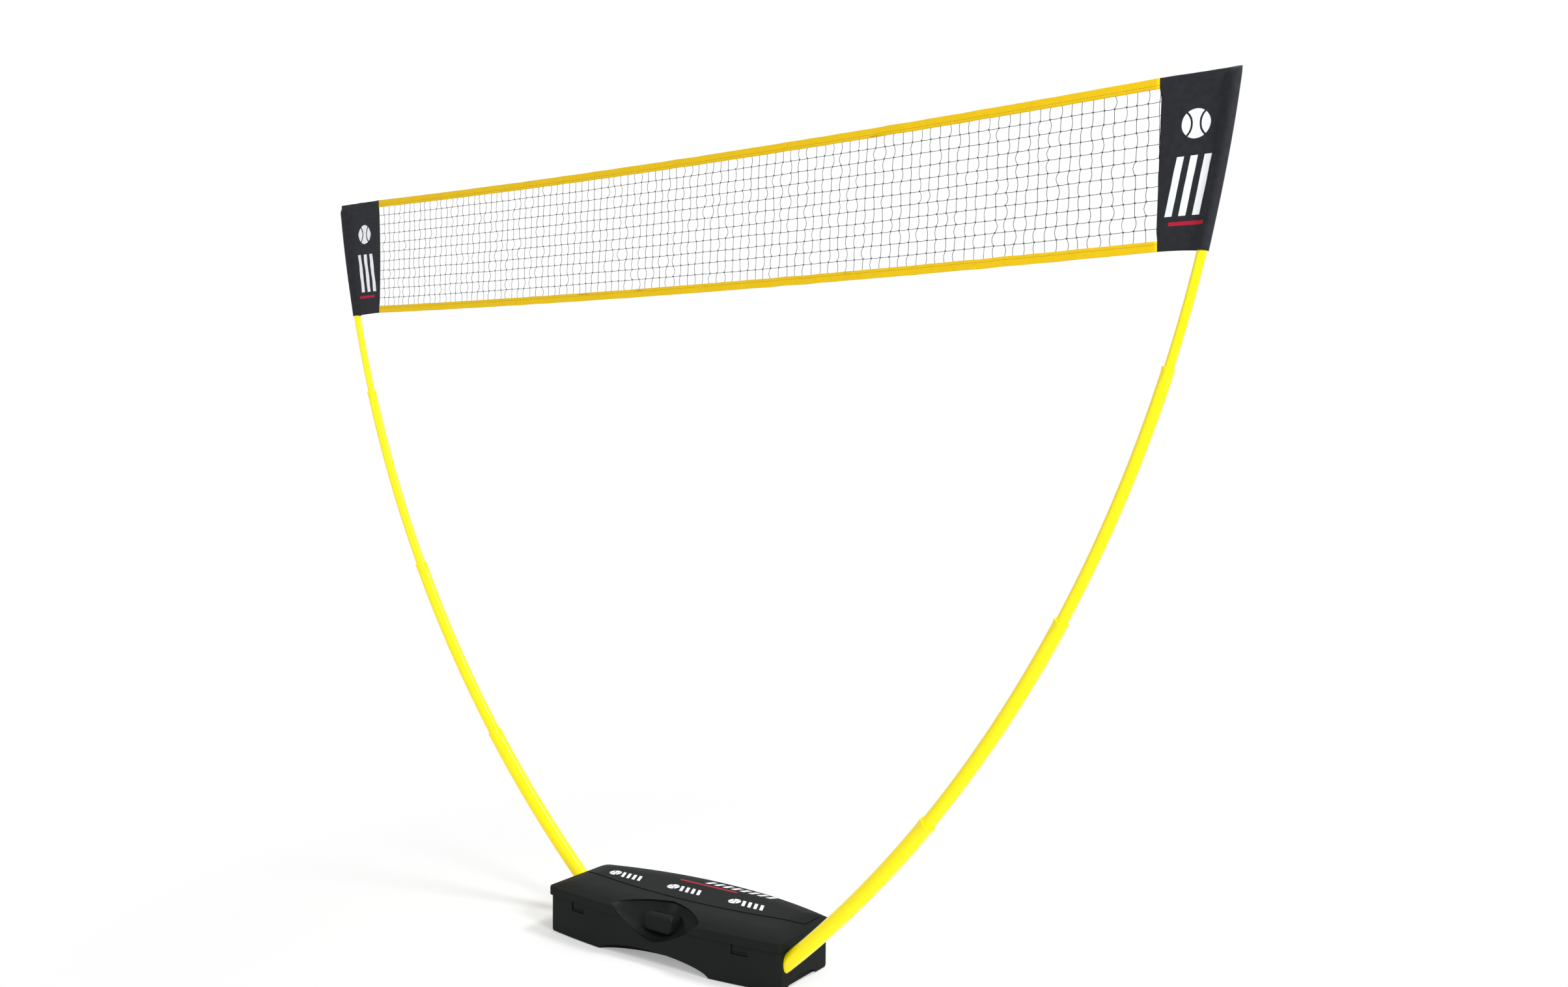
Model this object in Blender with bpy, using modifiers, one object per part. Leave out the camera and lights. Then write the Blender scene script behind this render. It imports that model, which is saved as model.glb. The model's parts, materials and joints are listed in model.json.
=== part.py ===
"""Portable net set: a net sewn between two sleeves, two telescopic bowed poles
and the flat carry case that is their stand.

Metres and degrees, +Z up. The origin is on the floor under the middle of the
case, +X runs along the net to the right and +Y points away from the carry
handle. Each pole is bowed on one circle, so its sections slide into each other
by turning about that circle's centre.
"""
import math

import bmesh
import bpy
from mathutils import Matrix, Vector

# Clearances
GAP = 0.0003
LATCH_TRAVEL = 0.003

# Carry case
CASE_LENGTH = 0.805
CASE_FRONT_END = 0.111
CASE_BACK_END = 0.129
CASE_BACK_BULGE = 0.070
CASE_FRONT_BULGE = 0.025
CASE_FLOOR_FLARE = 0.012
CASE_CORNER_RADIUS = 0.015
SHELL_HEIGHT = 0.106
SHELL_FLOOR_EDGE = 0.006
WALL = 0.003
RIM_OVERHANG = 0.005
LID_RIM_HEIGHT = 0.0245
LID_RIM_EDGE = 0.004
LID_CROWN = 0.012
LID_CROWN_BAND = 0.026

# Recess for the hand, in the middle of the front
BOWL_HALF_WIDTH = 0.152
BOWL_REACH = 0.091
BOWL_DROP = 0.080
BOWL_FULLNESS = 1.35
BOWL_CENTRE_Y = -0.126
TOE_HALF_WIDTH = 0.195
TOE_REACH = 0.074
TOE_HEIGHT = 0.036
TOE_FULLNESS = 1.8
HANDLE_WIDTH = 0.100
HANDLE_HEIGHT = 0.050
HANDLE_DEPTH = 0.025
HANDLE_FRONT_Y = -0.112
HANDLE_MIDDLE_Z = 0.101
HANDLE_LEG_WIDTH = 0.013
HANDLE_LEG_HEIGHT = 0.026
HANDLE_CORNER = 0.015
HANDLE_EDGE = 0.007

# Arch under each end wall
ARCH_HALF_WIDTH = 0.072
ARCH_HEIGHT = 0.021
ARCH_DEPTH = 0.012

# Lid hinge
HINGE_SPACING = 0.180
HINGE_KNUCKLE_RADIUS = 0.0046
HINGE_LID_KNUCKLE = 0.020
HINGE_SHELL_KNUCKLE = 0.012
HINGE_PIN_RADIUS = 0.0015
HINGE_SETBACK = 0.0055
HINGE_WEB = 0.004

# Lid panel
PANEL_THICKNESS = 0.0012
PANEL_BACK_INSET = 0.020
PANEL_END_INSET = 0.020
PANEL_FRONT_MIDDLE_Y = -0.012
PANEL_FRONT_END_Y = 0.030

# Latch buttons
LATCH_X = 0.280
LATCH_WIDTH = 0.049
LATCH_HEIGHT = 0.027
LATCH_THICKNESS = 0.0045
LATCH_RECESS = 0.0030
LATCH_SIDE_GAP = 0.0009
LATCH_SLOT_WIDTH = 0.040
LATCH_SLOT_HEIGHT = 0.0035
LATCH_SLOT_DEPTH = 0.0020
LATCH_SLOT_RISE = 0.0050

# Ribs that cradle the packed poles
CRADLE_X = 0.195
CRADLE_HEIGHT = 0.042
CRADLE_PITCH = 0.052

# Poles
POLE_OFFSET_Y = 0.068
POLE_HOLE_Z = 0.075
POLE_BOW_RADIUS = 3.35
POLE_ANGLE_RIGHT = 41.9
POLE_ANGLE_LEFT = 41.3
BASE_SHOWN = 0.580
SECTION_SHOWN = 0.610
SECTION_OVERLAP = 0.060
BASE_INSERT = 0.075
TUBE_RADII = (0.0210, 0.0176, 0.0142, 0.0108)
TUBE_WALL = 0.0022
LIP_LENGTH = 0.014
LIP_STEP = 0.0011
BUSH_LENGTH = 0.020
PLUG_LENGTH = 0.012
CAP_LENGTH = 0.008
CAP_SPIGOT = 0.014
SOCKET_WALL = 0.0035

# Net and sleeves
NET_HEIGHT = 0.368
TAPE_HEIGHT = 0.0225
TAPE_THICKNESS = 0.0024
TOP_SAG = 0.016
BOTTOM_SAG = 0.013
CORD_THICKNESS = 0.0024
NET_COLUMNS = 46
NET_ROWS = 6
SLEEVE_THICKNESS = 0.0024
SLEEVE_POCKET_GAP = 0.0010
SLEEVE_SKIN = 0.0012
SLEEVE_WIDTH = 0.1364
SLEEVE_HEADROOM = 0.0120
SLEEVE_FOOT_DROP = 0.006

# Counts that set how finely curves are drawn
ARC_STEP = 1.1
TUBE_SIDES = 12
CASE_STEPS = 16
TAPE_STEPS = 24

# Values worked out from the sizes above
LID_BOTTOM_Z = SHELL_HEIGHT + GAP
LID_RIM_Z = SHELL_HEIGHT + LID_RIM_HEIGHT
END_HALF = CASE_LENGTH / 2
HINGE_Y = CASE_BACK_END + CASE_BACK_BULGE + HINGE_SETBACK
HINGE_Z = SHELL_HEIGHT
LATCH_Z = SHELL_HEIGHT - GAP - LATCH_HEIGHT / 2
SIDES = {"right": 1, "left": -1}
POLE_ANGLES = {"right": POLE_ANGLE_RIGHT, "left": POLE_ANGLE_LEFT}
ORIGIN = Vector((0, 0, 0))


def clear_scene():
    for obj in list(bpy.data.objects):
        bpy.data.objects.remove(obj, do_unlink=True)
    for collection in list(bpy.data.collections):
        bpy.data.collections.remove(collection)


clear_scene()
PARTS = bpy.data.collections.new("net_set")
CUTTERS = bpy.data.collections.new("cutters")
bpy.context.scene.collection.children.link(PARTS)
bpy.context.scene.collection.children.link(CUTTERS)


def material(name, colour, roughness, metallic=0.0):
    mat = bpy.data.materials.new(name)
    mat.use_nodes = True
    shader = mat.node_tree.nodes["Principled BSDF"]
    shader.inputs["Base Color"].default_value = (*colour, 1.0)
    shader.inputs["Roughness"].default_value = roughness
    shader.inputs["Metallic"].default_value = metallic
    return mat


def mesh_object(name, bm, collection=PARTS, origin=ORIGIN):
    """Make an object from a bmesh in world coordinates, with its origin at a point."""
    bmesh.ops.recalc_face_normals(bm, faces=bm.faces[:])
    bmesh.ops.translate(bm, verts=bm.verts[:], vec=-origin)
    mesh = bpy.data.meshes.new(name)
    bm.to_mesh(mesh)
    bm.free()
    obj = bpy.data.objects.new(name, mesh)
    obj.location = origin
    collection.objects.link(obj)
    if collection == CUTTERS:
        obj.hide_render = True
        obj.display_type = "WIRE"
    return obj


def set_origin(obj, point):
    """Move an unturned object's origin without moving its shape."""
    obj.data.transform(Matrix.Translation(obj.location - point))
    obj.location = point


def cut(obj, cutter, operation="DIFFERENCE"):
    modifier = obj.modifiers.new(cutter.name, "BOOLEAN")
    modifier.operation = operation
    modifier.solver = "EXACT"
    modifier.object = cutter
    return modifier


def apply_modifiers(obj):
    """Replace a mesh by what its modifiers make of it."""
    bpy.context.view_layer.update()
    evaluated = obj.evaluated_get(bpy.context.evaluated_depsgraph_get())
    mesh = bpy.data.meshes.new_from_object(evaluated)
    obj.modifiers.clear()
    obj.data = mesh


def finish(obj, mat, smooth_angle=32.0):
    """Give an object its material and smooth shading between sharp edges."""
    obj.data.materials.clear()
    obj.data.materials.append(mat)
    obj.data.shade_smooth()
    obj.data.set_sharp_from_angle(angle=math.radians(smooth_angle))
    return obj


def box(name, low, high, collection=CUTTERS, turn=0.0, place=ORIGIN):
    """A box between two corners, turned about Z and then moved to its place."""
    low = Vector(low)
    high = Vector(high)
    bm = bmesh.new()
    bmesh.ops.create_cube(bm, size=1.0)
    bmesh.ops.scale(bm, vec=high - low, verts=bm.verts[:])
    bmesh.ops.translate(bm, vec=(low + high) / 2, verts=bm.verts[:])
    bmesh.ops.rotate(bm, cent=ORIGIN, matrix=Matrix.Rotation(turn, 3, "Z"), verts=bm.verts[:])
    bmesh.ops.translate(bm, vec=place, verts=bm.verts[:])
    return mesh_object(name, bm, collection)


def cylinder_x(name, centre, radius, length, sides=24, collection=CUTTERS):
    """A cylinder along X."""
    bm = bmesh.new()
    bmesh.ops.create_cone(bm, cap_ends=True, segments=sides, radius1=radius, radius2=radius, depth=length)
    bmesh.ops.rotate(bm, cent=ORIGIN, matrix=Matrix.Rotation(math.pi / 2, 3, "Y"), verts=bm.verts[:])
    bmesh.ops.translate(bm, vec=Vector(centre), verts=bm.verts[:])
    return mesh_object(name, bm, collection)


# The case's outline, seen from above


def bulge_y(x, half, bulge):
    """How far a side that bows out by bulge stands out at x."""
    radius = (half * half + bulge * bulge) / (2 * bulge)
    return math.sqrt(radius * radius - x * x) - (radius - bulge)


def case_outline(inset, front_bulge):
    """Points round the case, anticlockwise from the front left corner."""
    half = END_HALF - inset
    front_end = -CASE_FRONT_END + inset
    back_end = CASE_BACK_END - inset
    xs = [half * (2 * i / CASE_STEPS - 1) for i in range(CASE_STEPS + 1)]
    front = [(x, front_end - bulge_y(x, half, front_bulge)) for x in xs]
    back = [(x, back_end + bulge_y(x, half, CASE_BACK_BULGE)) for x in reversed(xs)]
    return front + back


def case_block(inset, low_z, high_z, low_bulge, high_bulge, corner):
    """A closed block with the case's outline, bowed as given at its foot and top."""
    bm = bmesh.new()
    low = [bm.verts.new((x, y, low_z)) for x, y in case_outline(inset, low_bulge)]
    high = [bm.verts.new((x, y, high_z)) for x, y in case_outline(inset, high_bulge)]
    count = len(low)
    bm.faces.new(low[::-1])
    bm.faces.new(high)
    for i in range(count):
        after = (i + 1) % count
        bm.faces.new((low[i], low[after], high[after], high[i]))
    corners = (0, CASE_STEPS, CASE_STEPS + 1, count - 1)
    edges = [bm.edges.get((low[i], high[i])) for i in corners]
    bmesh.ops.bevel(bm, geom=edges, offset=corner, segments=4, profile=0.5, affect="EDGES", material=-1)
    return bm


def rim_edges(bm, z):
    """The outer edges of the flat face at a height."""
    return [e for e in bm.edges if all(abs(v.co.z - z) < 1e-6 for v in e.verts) and len(e.link_faces) == 2
            and sum(abs(f.normal.z) > 0.99 for f in e.link_faces) == 1]


def crown(bm, rise, band):
    """Raise a flat top face in three bands, so that it sheds water."""
    for width, share in ((0.8, 0.55), (1.0, 0.30), (1.0, 0.15)):
        bm.normal_update()
        top = max((f for f in bm.faces if f.normal.z > 0.99), key=lambda f: f.calc_area())
        top = bmesh.ops.extrude_discrete_faces(bm, faces=[top])["faces"][0]
        low = [min(v.co[axis] for v in top.verts) for axis in (0, 1)]
        high = [max(v.co[axis] for v in top.verts) for axis in (0, 1)]
        middle = Vector(((low[0] + high[0]) / 2, (low[1] + high[1]) / 2, 0))
        scale = [1 - 2 * band * width / (high[axis] - low[axis]) for axis in (0, 1)]
        bmesh.ops.scale(bm, vec=(*scale, 1), space=Matrix.Translation(-middle), verts=top.verts)
        bmesh.ops.translate(bm, vec=(0, 0, rise * share), verts=top.verts)


# Shapes of the hand recess


def rounded_hollow(name, centre, half_sizes, fullness, grow):
    """A hollow with the form of an ellipsoid, grown by a wall or a gap.

    A fullness above 2 swells its sides. One below 2 draws them in straight to a blunt point.
    """
    bm = bmesh.new()
    bmesh.ops.create_uvsphere(bm, u_segments=32, v_segments=20, radius=1.0)
    for vert in bm.verts:
        vert.co /= sum(abs(c) ** fullness for c in vert.co) ** (1 / fullness)
    bmesh.ops.scale(bm, vec=[half + grow for half in half_sizes], verts=bm.verts[:])
    bmesh.ops.translate(bm, vec=centre, verts=bm.verts[:])
    return mesh_object(name, bm, CUTTERS)


def bowl(name, grow):
    """The scoop in the front of the case for the hand that takes the handle."""
    centre = (0, BOWL_CENTRE_Y, LID_RIM_Z + RIM_OVERHANG)
    return rounded_hollow(name, centre, (BOWL_HALF_WIDTH, BOWL_REACH, BOWL_DROP), BOWL_FULLNESS, grow)


def toe(name, grow):
    """The low hollow under the front wall for the fingers that lift the case."""
    centre = (0, front_wall(0, 0)[0], 0)
    return rounded_hollow(name, centre, (TOE_HALF_WIDTH, TOE_REACH, TOE_HEIGHT), TOE_FULLNESS, grow)


def arch(name, side, grow):
    """The arched hollow under an end wall."""
    bm = bmesh.new()
    bmesh.ops.create_cone(bm, cap_ends=True, segments=32, radius1=1.0, radius2=1.0, depth=1.0)
    bmesh.ops.rotate(bm, cent=ORIGIN, matrix=Matrix.Rotation(math.pi / 2, 3, "Y"), verts=bm.verts[:])
    outer = END_HALF + WALL
    inner = END_HALF - RIM_OVERHANG - ARCH_DEPTH - grow
    scale = (outer - inner, ARCH_HALF_WIDTH + grow, ARCH_HEIGHT + WALL + grow)
    bmesh.ops.scale(bm, vec=scale, verts=bm.verts[:])
    bmesh.ops.translate(bm, vec=(side * (outer + inner) / 2, 0, -WALL), verts=bm.verts[:])
    return mesh_object(name, bm, CUTTERS)


# The front wall where a latch sits


def front_wall(x, z):
    """The lower shell's front at x and z: its y and how it is turned about Z."""
    half = END_HALF - RIM_OVERHANG
    bulge = CASE_FRONT_BULGE + CASE_FLOOR_FLARE * (1 - z / SHELL_HEIGHT)
    y = RIM_OVERHANG - CASE_FRONT_END - bulge_y(x, half, bulge)
    radius = (half * half + bulge * bulge) / (2 * bulge)
    return y, math.asin(x / radius)


def latch_box(name, side, grow, low_z, high_z, front, back, collection=CUTTERS):
    """A box set in the front wall, between two depths measured inwards from it."""
    y, turn = front_wall(LATCH_X, LATCH_Z)
    low = (-LATCH_WIDTH / 2 - grow, front, low_z)
    high = (LATCH_WIDTH / 2 + grow, back, high_z)
    return box(name, low, high, collection, side * turn, Vector((side * LATCH_X, y, LATCH_Z)))


# Bowed poles


def pole_centre(side_name):
    """The centre of the circle on which a pole is bowed."""
    side = SIDES[side_name]
    angle = math.radians(POLE_ANGLES[side_name])
    x = END_HALF - POLE_BOW_RADIUS * math.sin(angle)
    z = POLE_HOLE_Z + POLE_BOW_RADIUS * math.cos(angle)
    return Vector((side * x, -side * POLE_OFFSET_Y, z))


def arc_angle(side_name, length):
    """The angle on the circle, from straight down, at a length above the case's hole."""
    return math.radians(POLE_ANGLES[side_name]) + length / POLE_BOW_RADIUS


def arc_length_at_z(side_name, z):
    """The length above the hole at which a pole's middle line has a height."""
    drop = pole_centre(side_name).z - z
    angle = math.acos(drop / POLE_BOW_RADIUS)
    return (angle - math.radians(POLE_ANGLES[side_name])) * POLE_BOW_RADIUS


def arc_x(side_name, length):
    """The distance from the middle of the case of a pole's middle line."""
    centre = pole_centre(side_name)
    angle = arc_angle(side_name, length)
    return abs(centre.x + SIDES[side_name] * POLE_BOW_RADIUS * math.sin(angle))


def arc_z(side_name, length):
    """The height of a pole's middle line."""
    return pole_centre(side_name).z - POLE_BOW_RADIUS * math.cos(arc_angle(side_name, length))


def arc_rod(name, side_name, stations, collection=PARTS):
    """A round bar along the bow. Each station is a length above the hole and a radius."""
    centre = pole_centre(side_name)
    side = SIDES[side_name]
    points = []
    step = math.radians(ARC_STEP) * POLE_BOW_RADIUS
    for (start, r0), (end, r1) in zip(stations, stations[1:]):
        count = max(1, math.ceil((end - start) / step))
        points += [(start + (end - start) * i / count, r0 + (r1 - r0) * i / count) for i in range(count)]
    points.append(stations[-1])
    depth = max(radius for _, radius in points)
    curve = bpy.data.curves.new(name, "CURVE")
    curve.dimensions = "3D"
    curve.bevel_depth = depth
    curve.bevel_resolution = (TUBE_SIDES - 4) // 2
    curve.use_fill_caps = True
    spline = curve.splines.new("POLY")
    spline.points.add(len(points) - 1)
    for target, (length, radius) in zip(spline.points, points):
        angle = arc_angle(side_name, length)
        x = side * POLE_BOW_RADIUS * math.sin(angle)
        target.co = (x, 0, -POLE_BOW_RADIUS * math.cos(angle), 1)
        target.radius = radius / depth
    guide = bpy.data.objects.new(name + "_guide", curve)
    bpy.context.scene.collection.objects.link(guide)
    bpy.context.view_layer.update()
    evaluated = guide.evaluated_get(bpy.context.evaluated_depsgraph_get())
    mesh = bpy.data.meshes.new_from_object(evaluated)
    bpy.data.objects.remove(guide)
    bm = bmesh.new()
    bm.from_mesh(mesh)
    bmesh.ops.remove_doubles(bm, verts=bm.verts[:], dist=0.00001)
    bmesh.ops.translate(bm, vec=centre, verts=bm.verts[:])
    return mesh_object(name, bm, collection, centre)


def section_span(index):
    """The lengths above the hole between which a section runs, counted from 0."""
    if index == 0:
        return -BASE_INSERT, BASE_SHOWN
    start = BASE_SHOWN + (index - 1) * SECTION_SHOWN
    return start - SECTION_OVERLAP, start + SECTION_SHOWN


def tube_bore(index):
    return TUBE_RADII[index] - TUBE_WALL


def pole_section(side_name, index, mat):
    """One tube: a guide bush at its foot, and a lip at its top that holds the next one."""
    start, end = section_span(index)
    radius = TUBE_RADII[index]
    last = index == len(TUBE_RADII) - 1
    outer = [(start, radius), (end, radius)]
    if index > 0:
        bush = tube_bore(index - 1) - GAP
        shoulder = start + BUSH_LENGTH
        outer = [(start, bush), (shoulder, bush), (shoulder + GAP, radius), (end, radius)]
    if not last:
        lip = radius + LIP_STEP
        outer[-1:] = [(end - LIP_LENGTH - LIP_STEP, radius), (end - LIP_LENGTH, lip), (end, lip)]
    bore = tube_bore(index)
    beyond = BUSH_LENGTH
    inner = [(start - beyond, bore), (end + beyond, bore)]
    if not last:
        mouth = TUBE_RADII[index + 1] + GAP
        inner[-1:] = [(end - LIP_LENGTH, bore), (end - LIP_LENGTH + GAP, mouth), (end + beyond, mouth)]
    name = f"{side_name}_pole_section_{index + 1}"
    tube = arc_rod(name, side_name, outer)
    hollow = arc_rod(name + "_bore", side_name, inner, CUTTERS)
    cut(tube, hollow)
    apply_modifiers(tube)
    return finish(tube, mat)


def base_plug(side_name, mat):
    """The plug that keeps the sliding sections from dropping out of the base tube."""
    start = section_span(0)[0]
    radius = tube_bore(0) - GAP
    stations = [(start, radius), (start + PLUG_LENGTH, radius)]
    return finish(arc_rod(side_name + "_base_plug", side_name, stations), mat)


def tip_cap(side_name, mat):
    """The round cap on the thin end, which the sleeve rests on."""
    end = section_span(len(TUBE_RADII) - 1)[1]
    radius = TUBE_RADII[-1]
    spigot = tube_bore(len(TUBE_RADII) - 1) - GAP
    stations = [(end - CAP_SPIGOT, spigot), (end + GAP, spigot), (end + 2 * GAP, radius),
                (end + CAP_LENGTH * 0.6, radius), (end + CAP_LENGTH, radius * 0.6)]
    return finish(arc_rod(side_name + "_tip_cap", side_name, stations), mat)


def pole_socket(side_name, mat):
    """The tube inside the case that the base section stands in."""
    foot = -BASE_INSERT - GAP
    outer_radius = TUBE_RADII[0] + GAP + SOCKET_WALL
    reach = BASE_INSERT + 4 * outer_radius
    socket = arc_rod(side_name + "_pole_socket", side_name, [(-reach, outer_radius), (reach, outer_radius)])
    inset = RIM_OVERHANG + WALL + GAP
    trim = mesh_object(side_name + "_socket_room",
                       case_block(inset, WALL + GAP, SHELL_HEIGHT, CASE_FRONT_BULGE, CASE_FRONT_BULGE,
                                  CASE_CORNER_RADIUS - WALL - GAP), CUTTERS)
    cut(socket, trim, "INTERSECT")
    bore = arc_rod(side_name + "_socket_bore", side_name,
                   [(foot, TUBE_RADII[0] + GAP), (reach, TUBE_RADII[0] + GAP)], CUTTERS)
    cut(socket, bore)
    apply_modifiers(socket)
    return finish(socket, mat)


# Net


def tip_length():
    """The length above the hole of the end of a pole's cap."""
    return section_span(len(TUBE_RADII) - 1)[1] + CAP_LENGTH


def pole_x_at_net(side_name):
    """The distance of a pole from the middle of the case, half way up the net."""
    middle = NET_TOP_Z - NET_HEIGHT / 2
    return arc_x(side_name, arc_length_at_z(side_name, middle))


NET_TOP_Z = max(arc_z(side_name, tip_length()) for side_name in SIDES) + SLEEVE_HEADROOM
NET_BOTTOM_Z = NET_TOP_Z - NET_HEIGHT
NET_INNER_HALF = min(pole_x_at_net(side_name) for side_name in SIDES) - SLEEVE_WIDTH


def net_turn():
    """The turn about Z of the net, which runs from one pole's plane to the other's."""
    return -math.atan2(POLE_OFFSET_Y, pole_x_at_net("right"))


def net_pivot(side_name):
    """The point on a pole, half way up its sleeve, about which the sleeve stays upright."""
    side = SIDES[side_name]
    middle = (NET_TOP_Z + NET_BOTTOM_Z) / 2
    return Vector((side * pole_x_at_net(side_name), -side * POLE_OFFSET_Y, middle))


def tape_edge(top, share, along):
    """The height of a tape's edge: share 0 is its lower edge, 1 its upper edge."""
    sag = (TOP_SAG if top else BOTTOM_SAG) * (1 - along * along)
    low = NET_TOP_Z - TAPE_HEIGHT if top else NET_BOTTOM_Z
    return low + share * TAPE_HEIGHT - sag


def net_sheet(columns, rows, end_gap, height_at):
    """A flat upright grid across the net, whose heights a function gives."""
    half = (NET_INNER_HALF - end_gap) / math.cos(net_turn())
    bm = bmesh.new()
    bmesh.ops.create_grid(bm, x_segments=columns, y_segments=rows, size=1.0)
    for vert in bm.verts:
        along = vert.co.x
        share = (vert.co.y + 1) / 2
        vert.co = Vector((half * along, 0, height_at(along, share)))
    bmesh.ops.rotate(bm, cent=ORIGIN, matrix=Matrix.Rotation(net_turn(), 3, "Z"), verts=bm.verts[:])
    return bm


def tape(name, top, mat, origin):
    bm = net_sheet(TAPE_STEPS, 1, GAP, lambda along, share: tape_edge(top, share, along))
    obj = mesh_object(name, bm, PARTS, origin)
    solid = obj.modifiers.new("thickness", "SOLIDIFY")
    solid.thickness = TAPE_THICKNESS
    solid.offset = 0.0
    return finish(obj, mat)


def netting(mat, origin):
    """The knotted mesh, as one open grid of cords."""
    margin = GAP + CORD_THICKNESS / 2

    def height_at(along, share):
        low = tape_edge(False, 1, along) + margin
        high = tape_edge(True, 0, along) - margin
        return low + share * (high - low)

    bm = net_sheet(NET_COLUMNS, NET_ROWS, margin, height_at)
    obj = mesh_object("net_mesh", bm, PARTS, origin)
    wires = obj.modifiers.new("cords", "WIREFRAME")
    wires.thickness = CORD_THICKNESS
    wires.use_boundary = True
    wires.use_replace = True
    wires.use_even_offset = True
    return finish(obj, mat)


def sleeve(side_name, mat):
    """The cloth end of the net, with a pocket along its outer edge for the pole."""
    side = SIDES[side_name]
    skew = math.cos(net_turn())
    foot = arc_length_at_z(side_name, NET_BOTTOM_Z - SLEEVE_FOOT_DROP)
    tip = tip_length()
    pocket = TUBE_RADII[-1] + SLEEVE_POCKET_GAP
    head = tip + GAP + 2 * SLEEVE_SKIN
    outline = [(NET_INNER_HALF / skew, NET_TOP_Z), (NET_INNER_HALF / skew, NET_BOTTOM_Z)]
    steps = 8
    for i in range(steps + 1):
        length = foot + (head - foot) * i / steps
        outline.append((arc_x(side_name, length) / skew, arc_z(side_name, length)))
    outline.append((outline[-1][0] + pocket, NET_TOP_Z))
    curve = bpy.data.curves.new(side_name + "_sleeve_outline", "CURVE")
    curve.dimensions = "2D"
    curve.fill_mode = "BOTH"
    curve.extrude = SLEEVE_THICKNESS / 2
    spline = curve.splines.new("POLY")
    spline.points.add(len(outline) - 1)
    for target, (x, z) in zip(spline.points, outline):
        target.co = (side * x, z, 0, 1)
    spline.use_cyclic_u = True
    guide = bpy.data.objects.new(side_name + "_sleeve_guide", curve)
    bpy.context.scene.collection.objects.link(guide)
    bpy.context.view_layer.update()
    evaluated = guide.evaluated_get(bpy.context.evaluated_depsgraph_get())
    mesh = bpy.data.meshes.new_from_object(evaluated)
    bpy.data.objects.remove(guide)
    bm = bmesh.new()
    bm.from_mesh(mesh)
    bmesh.ops.remove_doubles(bm, verts=bm.verts[:], dist=0.00001)
    upright = Matrix.Rotation(net_turn(), 3, "Z") @ Matrix.Rotation(math.pi / 2, 3, "X")
    bmesh.ops.rotate(bm, cent=ORIGIN, matrix=upright, verts=bm.verts[:])
    panel = mesh_object(side_name + "_sleeve", bm, PARTS)
    channel = arc_rod(side_name + "_sleeve_channel", side_name,
                      [(foot, pocket + SLEEVE_SKIN), (head, pocket + SLEEVE_SKIN)], CUTTERS)
    hollow = arc_rod(side_name + "_sleeve_pocket", side_name,
                     [(foot - BUSH_LENGTH, pocket), (tip + GAP, pocket)], CUTTERS)
    cut(panel, channel, "UNION")
    cut(panel, hollow)
    apply_modifiers(panel)
    set_origin(panel, net_pivot(side_name))
    return finish(panel, mat)


# Case


def cradle(name, side):
    """A rib across the case with hollows that hold the packed poles."""
    rib = box(name, (side * CRADLE_X - WALL / 2, -CASE_FRONT_END, -WALL),
              (side * CRADLE_X + WALL / 2, CASE_BACK_END + CASE_BACK_BULGE, CRADLE_HEIGHT))
    for index in (-1, 0, 1, 2):
        centre = (side * CRADLE_X, index * CRADLE_PITCH, CRADLE_HEIGHT)
        cut(rib, cylinder_x(f"{name}_hollow_{index + 2}", centre, TUBE_RADII[0] + WALL / 2, 3 * WALL))
    return rib


def hinge_middles():
    return (-HINGE_SPACING / 2, HINGE_SPACING / 2)


def knuckle(name, x, width, web_low, web_high, reach):
    """One hinge knuckle with the web that joins it to a wall."""
    tube = cylinder_x(name, (x, HINGE_Y, HINGE_Z), HINGE_KNUCKLE_RADIUS, width, 16)
    web = box(name + "_web", (x - width / 2, HINGE_Y - reach, web_low), (x + width / 2, HINGE_Y, web_high))
    cut(tube, web, "UNION")
    return tube


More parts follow.
